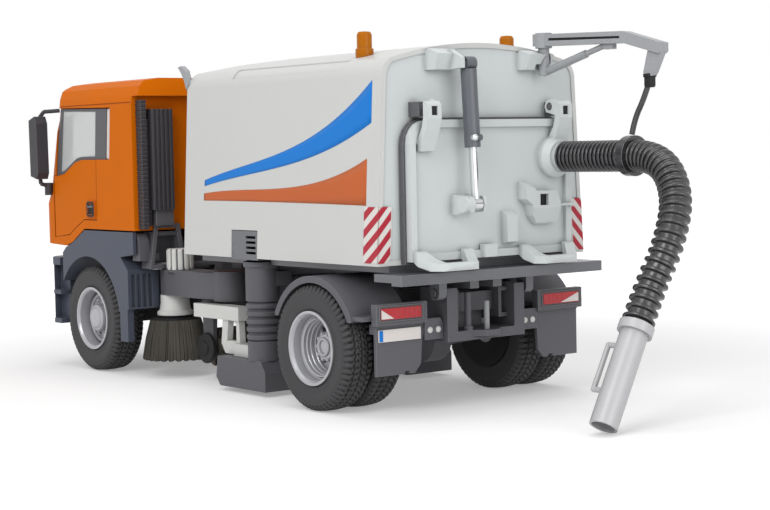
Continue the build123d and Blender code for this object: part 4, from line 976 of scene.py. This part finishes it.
for side, sign in SIDES:
    cap = ribbed_cap(side, sign)
    arm, centre = f"broom_arm_{side}", (BROOM_AXIS[0], sign * BROOM_AXIS[1], 0)
    lathe(f"broom_motor_{side}", BELL, centre, "Z", 48, LIGHT, arm, "light_plastic")
    foot_place = (FOOT_PLACE[0], sign * FOOT_PLACE[1], FOOT_PLACE[2])
    rounded(f"broom_foot_{side}", foot_place, (1, 0, 0), (0, 1, 0), FOOT, LIGHT, arm, "light_plastic")
print("a broom cap has", len(cap.data.polygons), "faces")

# %% [markdown]
# ## The roller brush
# Behind the round brooms a brush lies across the truck and picks up what they bring in. It could be one
# rough cylinder, but rows of tufts that wind along it look like a brush. The brooms' strands serve again:
# each row's angle turns a little with the place along the roller. Black discs cover its two ends.

# %% The roller brush between the wheels
ROLLER = (146.0, 0.0, 20.0)
ROLLER_HALF = 45.0
ROLLER_ROWS = 18
STRANDS_PER_ROW = 90
ROLLER_ROOT = 6.5
ROLLER_REACH = 11.2
ROLLER_STRAND_TIP = 0.3
ROLLER_WIND = 0.1
ROLLER_SEED = 21
COVER_PLACE = 50.1


def roller_bristles():
    """Rows of strands round a core, each row turned a little along the roller so that the bundles wind."""
    dice = np.random.default_rng(ROLLER_SEED)
    row, step = np.meshgrid(np.arange(ROLLER_ROWS), np.arange(STRANDS_PER_ROW), indexing="ij")
    row, step = row.ravel(), step.ravel()
    y = (step + dice.uniform(0, 1, row.size)) / STRANDS_PER_ROW * 2 * ROLLER_HALF - ROLLER_HALF
    angle = 2 * np.pi * (row / ROLLER_ROWS + ROLLER_WIND * y / ROLLER_HALF) + dice.normal(0, 0.03, row.size)
    outward = np.stack([np.cos(angle), np.zeros(row.size), np.sin(angle)], axis=-1)
    centre = np.stack([np.full(row.size, ROLLER[0]), y, np.full(row.size, ROLLER[2])], axis=-1)
    reach = ROLLER_REACH + dice.uniform(-0.4, 0.2, row.size)
    roots, tips = centre + ROLLER_ROOT * outward, centre + reach[:, None] * outward
    points, faces = strands(roots, tips, 0 * outward, STRAND_ROOT, ROLLER_STRAND_TIP)
    return made("roller_bristles", place(points), faces, BRISTLE, "roller", "bristle_dark", smooth=False)


print("the roller has", len(roller_bristles().data.polygons), "faces")
END_COVER = [(0, 0.0), (8.6, 0.0), (9.2, 0.5), (9.2, 2.0), (8.4, 2.6), (4.2, 2.6), (3.8, 3.4), (0, 3.4)]
for side, sign in SIDES:
    centre = (ROLLER[0], sign * COVER_PLACE, ROLLER[2])
    cover = mirrored(END_COVER, sign)
    lathe(f"roller_cover_{side}", cover, centre, "Y", 40, BLACK, "chassis", "dark_plastic")

# %% [markdown]
# ## Stickers on the hopper
# The side carries a blue sweep, a terracotta sweep below it and red and white warning bars at the rear
# corner. A sticker could be a picture or a mask in the hopper's material, but a thin plate keeps its edge
# sharp at any distance. It follows the leaning side: one parameter runs along the truck, the other from
# the lower edge curve to the upper one.

# %% The hopper's side and the two sweeps
STICKER = 0.12
STICKER_ROOT = 0.3


def sticker(name, colour, roughness, cloud, gloss=0.3):
    """Printed vinyl: smooth, with no painted edge highlight and hardly any grain."""
    return moulded(name, colour, roughness=roughness, cloud=cloud, edge=0.0, bump=0.01, gloss=gloss)


BLUE = sticker("blue sticker", ink(28, 128, 218), 0.35, 0.02, gloss=0.15)
CLAY = sticker("terracotta sticker", ink(202, 104, 56), 0.35, 0.03, gloss=0.15)
PALE = sticker("pale sticker", ink(232, 226, 222), 0.3, 0.02)
BARS = sticker("warning red", ink(184, 38, 58), 0.3, 0.03)
SIDE_LOW = (78.0, 72.0)
SIDE_HIGH = (173.0, 66.9)


def side_y(z):
    """The half width of the hopper's side at a height: a straight lean between its foot and its shoulder."""
    lean = (SIDE_HIGH[1] - SIDE_LOW[1]) / (SIDE_HIGH[0] - SIDE_LOW[0])
    return SIDE_LOW[1] + lean * (z - SIDE_LOW[0])


def side_plate(name, x, low, high, sign, material):
    """A thin plate on the hopper's side between two edge curves, given at the same places along the truck."""
    t = np.linspace(0, 1, 5)[None, :]
    z = low[:, None] * (1 - t) + high[:, None] * t
    xs = np.broadcast_to(x[:, None], z.shape)
    outer = np.stack([xs, sign * (side_y(z) + STICKER), z], axis=-1)
    inner = np.stack([xs, sign * (side_y(z) - STICKER_ROOT), z], axis=-1)
    points, faces = slab(outer, inner)
    return made(name, place(points), faces, material, "hopper", "hopper_white")


def curve_through(x, spots):
    """A smooth edge curve through a few (x, z) places: the cubic that fits them best."""
    spots = np.asarray(spots, float)
    fit = np.polynomial.Polynomial.fit(spots[:, 0], spots[:, 1], min(3, len(spots) - 1))
    return fit(x)


SWEEP_STEPS = 60
BLUE_TOP = [(114.0, 121.2), (56.0, 132.4), (9.0, 144.8), (-22.6, 159.0), (-42.4, 172.5)]
BLUE_FOOT = [(114.0, 117.8), (56.7, 126.0), (9.3, 133.7), (-41.6, 150.4)]
CLAY_TOP = [(114.5, 113.6), (33.0, 117.2), (-8.0, 122.6), (-39.0, 132.5)]
CLAY_FOOT = [(114.5, 109.6), (30.0, 109.4), (-39.0, 108.6)]
SWEEPS = (("blue", (114.0, -42.0), BLUE_FOOT, BLUE_TOP, BLUE),
          ("clay", (114.5, -39.0), CLAY_FOOT, CLAY_TOP, CLAY))
for side, sign in SIDES:
    for label, reach, foot, top, finish in SWEEPS:
        x = np.linspace(*reach, SWEEP_STEPS)
        low, high = curve_through(x, foot), curve_through(x, top)
        side_plate(f"{label}_sweep_{side}", x, low, high, sign, finish)
        rear_height = round(float(high[-1] - low[-1]), 1)
        print(label, "sweep on the", side, "is", rear_height, "mm high at its rear end")

# %% [markdown]
# ## Warning bars
# A warning board wraps round each rear corner of the hopper: pale, with slanting red bars that run on from
# the side to the rear. Each bar is a parallelogram cut to the board, so the bars come from clipping a
# slanted band, and no picture is needed. Both halves start their bars at the corner at the same height, so
# that they meet, and each half has a rake of its own.

# %% Bars cut to a rectangle


def clipped(polygon, low, high, axis):
    """A polygon cut to low..high along one axis, by walking its edges and adding the crossing points."""
    for limit, keep in ((low, 1), (high, -1)):
        result = []
        for here, there in zip(polygon, polygon[1:] + polygon[:1]):
            inside, next_inside = keep * (here[axis] - limit) >= 0, keep * (there[axis] - limit) >= 0
            if inside:
                result.append(here)
            if inside != next_inside:
                share = (limit - here[axis]) / (there[axis] - here[axis])
                result.append(tuple(a + share * (b - a) for a, b in zip(here, there)))
        polygon = result
        if not polygon:
            return []
    return polygon


def bar_outlines(width, height, bar, gap, slope, start):
    """The red bars of a warning board as polygons in its own plane, rising by slope per unit of width."""
    found = []
    low = start
    while low < height + abs(slope) * width:
        far = low + slope * width
        band = [(0.0, low), (width, far), (width, far + bar), (0.0, low + bar)]
        cut = clipped(clipped(band, 0.0, height, 1), 0.0, width, 0)
        if len(cut) > 2:
            found.append(cut)
        low += bar + gap
    return found


BOARD_Z = (79.5, 108.0)
BOARD_X = (-50.15, -37.6)
SIDE_RAKE = 0.8
REAR_RAKE = 1.1
BAR = (4.4, 4.4)
BAR_START = -4.0
BAR_RISE = 1.8 * STICKER
REAR_FACE_X = -50.0
REAR_ROOT = 0.8
REAR_WIDTH = 8.2
REAR_BARS_WIDTH = REAR_WIDTH - 0.6
REAR_CORNER = 2.4


def on_side(sign, rise):
    """A plane on the hopper's side: u runs forwards from the rear edge and v runs up the board."""
    def lift(u, v, out):
        z = BOARD_Z[0] + v
        return (BOARD_X[0] + u, sign * (side_y(z) - STICKER_ROOT + (STICKER_ROOT + rise) * out), z)
    return lift


def on_rear(sign, rise):
    """A plane on the hopper's rear rim: u runs inwards from the side and v runs up the board."""
    def lift(u, v, out):
        z = BOARD_Z[0] + v
        return (REAR_FACE_X + REAR_ROOT - (REAR_ROOT + rise) * out, sign * (side_y(z) + STICKER - u), z)
    return lift


height, width = BOARD_Z[1] - BOARD_Z[0], BOARD_X[1] - BOARD_X[0]
SIDE_BOARD = [(0.0, 0.0), (width, 0.0), (width, height), (0.0, height)]
REAR_BOARD = [(0.0, 0.0), (REAR_WIDTH - REAR_CORNER, 0.0), (REAR_WIDTH, REAR_CORNER), (REAR_WIDTH, height),
              (0.0, height)]
side_bars = bar_outlines(width, height, *BAR, -SIDE_RAKE, BAR_START)
rear_bars = bar_outlines(REAR_BARS_WIDTH, height, *BAR, REAR_RAKE, BAR_START)
print("a warning board has", len(side_bars), "bars on the side and", len(rear_bars), "on the rear")
for side, sign in SIDES:
    for name, outlines, plane, finish in (
            (f"warning_board_{side}", [SIDE_BOARD], on_side(sign, STICKER), PALE),
            (f"warning_bars_{side}", side_bars, on_side(sign, BAR_RISE), BARS),
            (f"rear_board_{side}", [REAR_BOARD], on_rear(sign, STICKER), PALE),
            (f"rear_bars_{side}", rear_bars, on_rear(sign, BAR_RISE), BARS)):
        flat_plates(name, outlines, plane, finish, "hopper", "hopper_white")

# %% [markdown]
# ## Lamps and flaps at the tail
# Each lamp is a red lens with a white reversing wedge and fine ribs, inside a moulded rim. A mud flap with
# a thin lip hangs below it. The left flap carries a blank plate with a blue end, and two small round
# reflectors stand beside each flap. Bevelled boxes would do for all of it, but nearly every piece is flat
# or round, so outlines and short profiles say the same in fewer lines.

# %% The lamps
LENS_FACE_X = -48.3
LENS_ROOT_X = LENS_FACE_X + 0.4
WEDGE_RISE, RIB_RISE, LIP_RISE = 0.15, 0.12, 0.9
LAMP_CENTRE = (-48.0, 56.2, 53.5)
LAMP_RIB_Z = (50.9, 56.1)
LAMP_RIB_STEP, LAMP_RIB_WIDTH = 3.2, 0.35
LAMP_RIB_START, LAMP_RIBS = 44.0, 5
WEDGES = {"left": [(69.2, 51.0), (69.2, 55.9), (61.0, 51.0)],
          "right": [(-69.2, 51.0), (-69.2, 55.9), (-55.5, 51.0)]}
LAMP_RIM = [(13.2, 2.9, -0.4), (13.6, 3.3, 0.0), (13.9, 3.6, 0.5), (14.4, 4.1, 0.5), (14.7, 4.4, 0.0),
            (14.7, 4.4, -0.6), (13.2, 2.9, -0.4)]
FLAP_FACE_X = -45.2
FLAP_LIP = ((40.5, 70.2), (46.6, 47.4))


def box_outline(ys, zs, sign=1):
    """The four corners of an upright rectangle, mirrored where the sign is -1."""
    return [(sign * ys[0], zs[0]), (sign * ys[1], zs[0]), (sign * ys[1], zs[1]), (sign * ys[0], zs[1])]


for side, sign in SIDES:
    wedge_face = facing_back(LENS_FACE_X - WEDGE_RISE, LENS_ROOT_X)
    flat_plates(f"lamp_wedge_{side}", [WEDGES[side]], wedge_face, PALE, "chassis", "lens_red")
    starts = [LAMP_RIB_START + LAMP_RIB_STEP * i for i in range(LAMP_RIBS)]
    ribs = [box_outline((y, y + LAMP_RIB_WIDTH), LAMP_RIB_Z, sign) for y in starts]
    rib_face = facing_back(LENS_FACE_X - RIB_RISE, LENS_ROOT_X)
    flat_plates(f"lamp_ribs_{side}", ribs, rib_face, RED, "chassis", "lens_red")
    centre = (LAMP_CENTRE[0], sign * LAMP_CENTRE[1], LAMP_CENTRE[2])
    rounded(f"lamp_rim_{side}", centre, (0, -1, 0), (0, 0, 1), LAMP_RIM, DARK, "chassis", "dark_plastic",
            power=0.12, segments=64)
    lip = [box_outline(*FLAP_LIP, sign)]
    lip_face = facing_back(FLAP_FACE_X - LIP_RISE, FLAP_FACE_X + 0.4)
    flat_plates(f"flap_lip_{side}", lip, lip_face, CHASSIS, "chassis", "dark_plastic")
print("each lamp has", len(ribs), "ribs")

# %% The blank plate and the reflectors
PLATE_Y = (41.8, 69.3)
PLATE_Z = (39.0, 45.3)
PLATE_BLUE = 2.6
PLATE_EDGE = 0.3
PLATE_RISE, BLUE_RISE = 0.8, 0.95
PLATE_ROOT_X = FLAP_FACE_X + 0.3
blue_y = (PLATE_Y[1] - PLATE_BLUE, PLATE_Y[1] - PLATE_EDGE)
blue_z = (PLATE_Z[0] + PLATE_EDGE, PLATE_Z[1] - PLATE_EDGE)
plate_face = facing_back(FLAP_FACE_X - PLATE_RISE, PLATE_ROOT_X)
flat_plates("plate_blank", [box_outline(PLATE_Y, PLATE_Z)], plate_face, PALE, "chassis", "light_plastic")
blue_face = facing_back(FLAP_FACE_X - BLUE_RISE, FLAP_FACE_X)
flat_plates("plate_blue_end", [box_outline(blue_y, blue_z)], blue_face, BLUE, "chassis", "light_plastic")
REFLECTOR_X, REFLECTOR_Z = -46.5, 43.0
REFLECTOR_PLACES = (36.1, 30.6)
REFLECTOR = [(0, -0.9), (1.1, -0.8), (1.6, -0.4), (1.8, 0.3), (0, 0.3)]
for side, sign in SIDES:
    spots = [(REFLECTOR_X, sign * y, REFLECTOR_Z) for y in REFLECTOR_PLACES]
    studs(f"reflectors_{side}", spots, "X", REFLECTOR, 20, LIGHT, "chassis", "light_plastic")
print("the plate measures", round(PLATE_Y[1] - PLATE_Y[0], 1), "x", round(PLATE_Z[1] - PLATE_Z[0], 1), "mm")

# %% [markdown]
# ## Sockets, grooves and the ram's bright ball
# Square sockets and grooves read as black on the toy because they are deep and lie in shade. The solids'
# sockets could be cut deeper, but thin black inserts paint that shade in at this scale, where light would
# otherwise fill them. The ram's collar has a bright ball pressed into it, and the strap hangs in a small
# black clip.

# %% Dark inserts and the ball
HINGE_SOCKET = ((43.7, 47.3), (153.7, 158.1))
HINGE_SOCKET_X = (-64.3, -63.3)
BRACKET_SOCKET = ((-34.4, -28.6), (105.6, 111.4))
BRACKET_SOCKET_X = (-60.6, -58.9)
# thin black plates in the hinge sockets and the bracket's socket are painted shade
for side, sign in SIDES:
    ys = sorted(sign * y for y in HINGE_SOCKET[0])
    socket = [box_outline(ys, HINGE_SOCKET[1])]
    hinge_face = facing_back(*HINGE_SOCKET_X)
    flat_plates(f"hinge_socket_{side}", socket, hinge_face, BLACK, "tailgate", "dark_plastic")
hole = [box_outline(*BRACKET_SOCKET)]
bracket_face = facing_back(*BRACKET_SOCKET_X)
flat_plates("bracket_socket", hole, bracket_face, BLACK, "tailgate", "dark_plastic")

BALL = [(0, -2.5), (0.9, -2.35), (1.5, -1.9), (1.9, -1.1), (1.95, 0.0), (1.7, 1.0), (0, 1.2)]
BALL_DOWN_BARREL = 38.0
BALL_PROUD = 3.4
BALL_Y = 22.8
RAM_TOP = np.array([-63.0, 180.0])
RAM_FOOT = np.array([-67.0, 108.0])
ram_way = (RAM_FOOT - RAM_TOP) / np.linalg.norm(RAM_FOOT - RAM_TOP)
ball_x, ball_z = RAM_TOP + BALL_DOWN_BARREL * ram_way
ball_spot = (ball_x - BALL_PROUD, BALL_Y, ball_z)
studs("ram_ball", [ball_spot], "X", BALL, 24, CHROME, "ram_barrel", "ram_bright")
print("the ball sits at z", round(float(ball_z), 1), "mm")

# %% Grooves along the boom, and the strap's clip
BOOM_PIVOT = (-57.0, -37.7)
BOOM_TURN = math.radians(184.2)
BOOM_HALF = 2.3
GROOVE_RISE = 0.25


def on_boom(side):
    """A plane along the boom's bar: u runs outwards from the pivot and v is the height."""
    def lift(u, v, out):
        across = side * (BOOM_HALF + GROOVE_RISE * out)
        x = u * math.cos(BOOM_TURN) - across * math.sin(BOOM_TURN)
        y = u * math.sin(BOOM_TURN) + across * math.cos(BOOM_TURN)
        return (BOOM_PIVOT[0] + x, BOOM_PIVOT[1] + y, v)
    return lift


BOOM_GROOVE = [(6.2, 192.7), (54.8, 191.05), (54.8, 192.1), (6.2, 193.9)]
# black plates along the boom are painted shade in its grooves
for side, label in ((1, "near"), (-1, "far")):
    flat_plates(f"boom_groove_{label}", [BOOM_GROOVE], on_boom(side), BLACK, "boom", "boom_grey")
CLIP = [(0, 0, -3.2), (2.0, 1.7, -3.2), (2.5, 2.2, -2.4), (2.5, 2.2, 1.8), (2.9, 2.7, 2.2), (2.9, 2.7, 3.6),
        (2.2, 2.0, 4.2), (0, 0, 4.2)]
CLIP_CENTRE = (-128.6, -43.2, 168.6)
rounded("strap_clip", CLIP_CENTRE, (1, 0, 0), (0, 1, 0), CLIP, BLACK, "boom", "hose_black")
print("each boom groove is", round(BOOM_GROOVE[1][0] - BOOM_GROOVE[0][0], 1), "mm long")

# %% [markdown]
# ## Wipers on the windscreen
# The photograph doesn't show the front, and a truck of this kind has two wipers. A wiper bent by hand would
# sink into the pane or float off it. So a function gives the pane's place at any width and height, and the
# blades and arms are thin tubes along lines on that surface.

# %% The wipers
SCREEN_X = 293.5
SCREEN_FOOT_Z = 114.3
SCREEN_LEAN = 0.2548
SCREEN_BULGE = 1.6
SCREEN_HALF = 67.0
WIPER_STEPS = 24
BLADE_RADIUS, ARM_RADIUS = 0.7, 0.55
BLADE_REACH, BLADE_Z, BLADE_CLIMB, BLADE_ARCH = 46.0, 116.0, 4.0, 2.0
ARM_START, ARM_REACH, ARM_Z, ARM_CLIMB, ARM_RISE = 6.0, 18.0, 109.5, 10.0, 1.4
WIPER_STARTS = (("left", 6.0), ("right", -54.0))


def on_screen(y, z, rise=0.9):
    """A place on the windscreen: it leans back with height and bulges forwards towards its middle."""
    y, z = np.asarray(y, float), np.asarray(z, float)
    bulge = SCREEN_BULGE * (1 - np.abs(y) / SCREEN_HALF)
    x = SCREEN_X - SCREEN_LEAN * (z - SCREEN_FOOT_Z) + bulge + rise
    return np.stack([x, y, z], axis=-1)


share = np.linspace(0, 1, WIPER_STEPS)
for label, start in WIPER_STARTS:
    blade_z = BLADE_Z + BLADE_CLIMB * share + BLADE_ARCH * np.sin(np.pi * share)
    blade = on_screen(start + BLADE_REACH * share, blade_z)
    arm = on_screen(start + ARM_START + ARM_REACH * share, ARM_Z + ARM_CLIMB * share, rise=ARM_RISE)
    for part, line, radius in (("blade", blade, BLADE_RADIUS), ("arm", arm, ARM_RADIUS)):
        tube = swept(place(line), np.full(WIPER_STEPS, radius * MM), 12, side=(1.0, 0.0, 0.0))
        made(f"wiper_{part}_{label}", *closed_tube(tube), BLACK, "cab", "dark_plastic")
    print(label, "blade", round(length_along(blade)[-1], 1), "mm long")

# %% [markdown]
# ## The intake's cover
# Behind the cab a dark corrugated cover forms the intake's rear face. One solid for each rib would cost
# more and leave gaps, so it is a slab between two grids, and the grid that shows dips in narrow valleys.

# %% The corrugated cover
COVER_Y = (52.2, 67.4)
COVER_Z = (103.0, 164.0)
COVER_X = 176.7
COVER_BACK = 6.2
COVER_RIBS = 5
COVER_RIB_DEPTH = 1.1
y = np.linspace(*COVER_Y, 61)[None, :]
z = np.linspace(*COVER_Z, 9)[:, None]
rib = np.abs(np.sin(np.pi * COVER_RIBS * (y - COVER_Y[0]) / (COVER_Y[1] - COVER_Y[0]))) ** 0.5
front = np.stack(np.broadcast_arrays(COVER_X - COVER_RIB_DEPTH * rib + 0.0 * z, y, z), axis=-1)
back = np.stack(np.broadcast_arrays(COVER_X + COVER_BACK + 0.0 * y + 0.0 * z, y, z), axis=-1)
points, faces = slab(front, back)
# the cover's plastic is the intake's black, darkened further as painted shade
crease(made("intake_cover", place(points), faces, INTAKE_BLACK_AND_SHADE, "cab", "dark_plastic"), 50)
print("the intake cover has", COVER_RIBS, "ribs")

# %% [markdown]
# ## Door handles, quarter panes and headlamps
# A recessed handle is a stack of rounded loops that climbs a low rim and then sinks into a dark pocket,
# with a grip across it. A small pale pane fills the gap behind each door window. The headlamps in the
# bumper are rounded pockets with two bright bowls each. One loop dresses both sides from the same profiles.

# %% Handles, panes and headlamps
QUARTER = [(209.6, 165.4), (212.2, 134.4), (217.7, 134.4), (215.1, 165.2)]
POCKET = [(0, 0, -0.4), (4.6, 4.6, -0.4), (4.9, 4.9, 1.2), (4.6, 4.6, 1.5), (3.7, 3.6, 1.5), (3.3, 3.2, 0.7),
          (0, 0, 0.7)]
GRIP = [(0, 0, 0.2), (3.3, 0.85, 0.2), (3.3, 0.85, 1.5), (2.9, 0.6, 1.9), (0, 0, 1.9)]
LAMP = [(0, 0, -0.6), (8.4, 5.4, -0.6), (8.6, 5.6, 1.9), (8.0, 5.0, 2.2), (7.6, 4.6, 1.2), (0, 0, 1.5)]
BOWL = [(0, 1.6), (2.2, 1.5), (3.6, 1.1), (4.1, 0.4), (4.1, -0.6), (0, -0.6)]
HANDLE_X, HANDLE_Y, HANDLE_Z = 235.8, 76.9, 103.0
GRIP_RISE = 1.6
QUARTER_FACE, QUARTER_ROOT = 75.6, 75.0
HEADLAMP_X, HEADLAMP_Y, HEADLAMP_Z = 300.9, 53.0, 54.0
BOWL_X = 302.0
BOWL_PLACES = (49.2, 57.0)
for side, sign in SIDES:
    door = f"door_{side}"
    inwards = (-sign, 0, 0)
    rounded(f"door_handle_{side}", (HANDLE_X, sign * HANDLE_Y, HANDLE_Z), inwards, (0, 0, 1), POCKET, BLACK,
            door, "dark_plastic", power=0.3)
    # the quarter pane is an opaque pale plate: its pale colour is painted reflection in place of clear glass
    pane_face = facing_side(sign * QUARTER_FACE, sign * QUARTER_ROOT)
    flat_plates(f"quarter_pane_{side}", [QUARTER], pane_face, PALE, "cab", "clear_glazing")
    rounded(f"door_grip_{side}", (HANDLE_X, sign * HANDLE_Y, HANDLE_Z + GRIP_RISE), inwards, (0, 0, 1), GRIP,
            DARK, door, "dark_plastic", power=0.35)
    headlamp_place = (HEADLAMP_X, sign * HEADLAMP_Y, HEADLAMP_Z)
    rounded(f"headlamp_{side}", headlamp_place, (0, 1, 0), (0, 0, 1), LAMP, PIPE, "chassis", "light_plastic",
            power=0.35)
    spots = [(BOWL_X, sign * y, HEADLAMP_Z) for y in BOWL_PLACES]
    studs(f"headlamp_bowls_{side}", spots, "X", BOWL, 32, CHROME, "chassis", "light_plastic")
print("each headlamp has", len(BOWL_PLACES), "bowls")
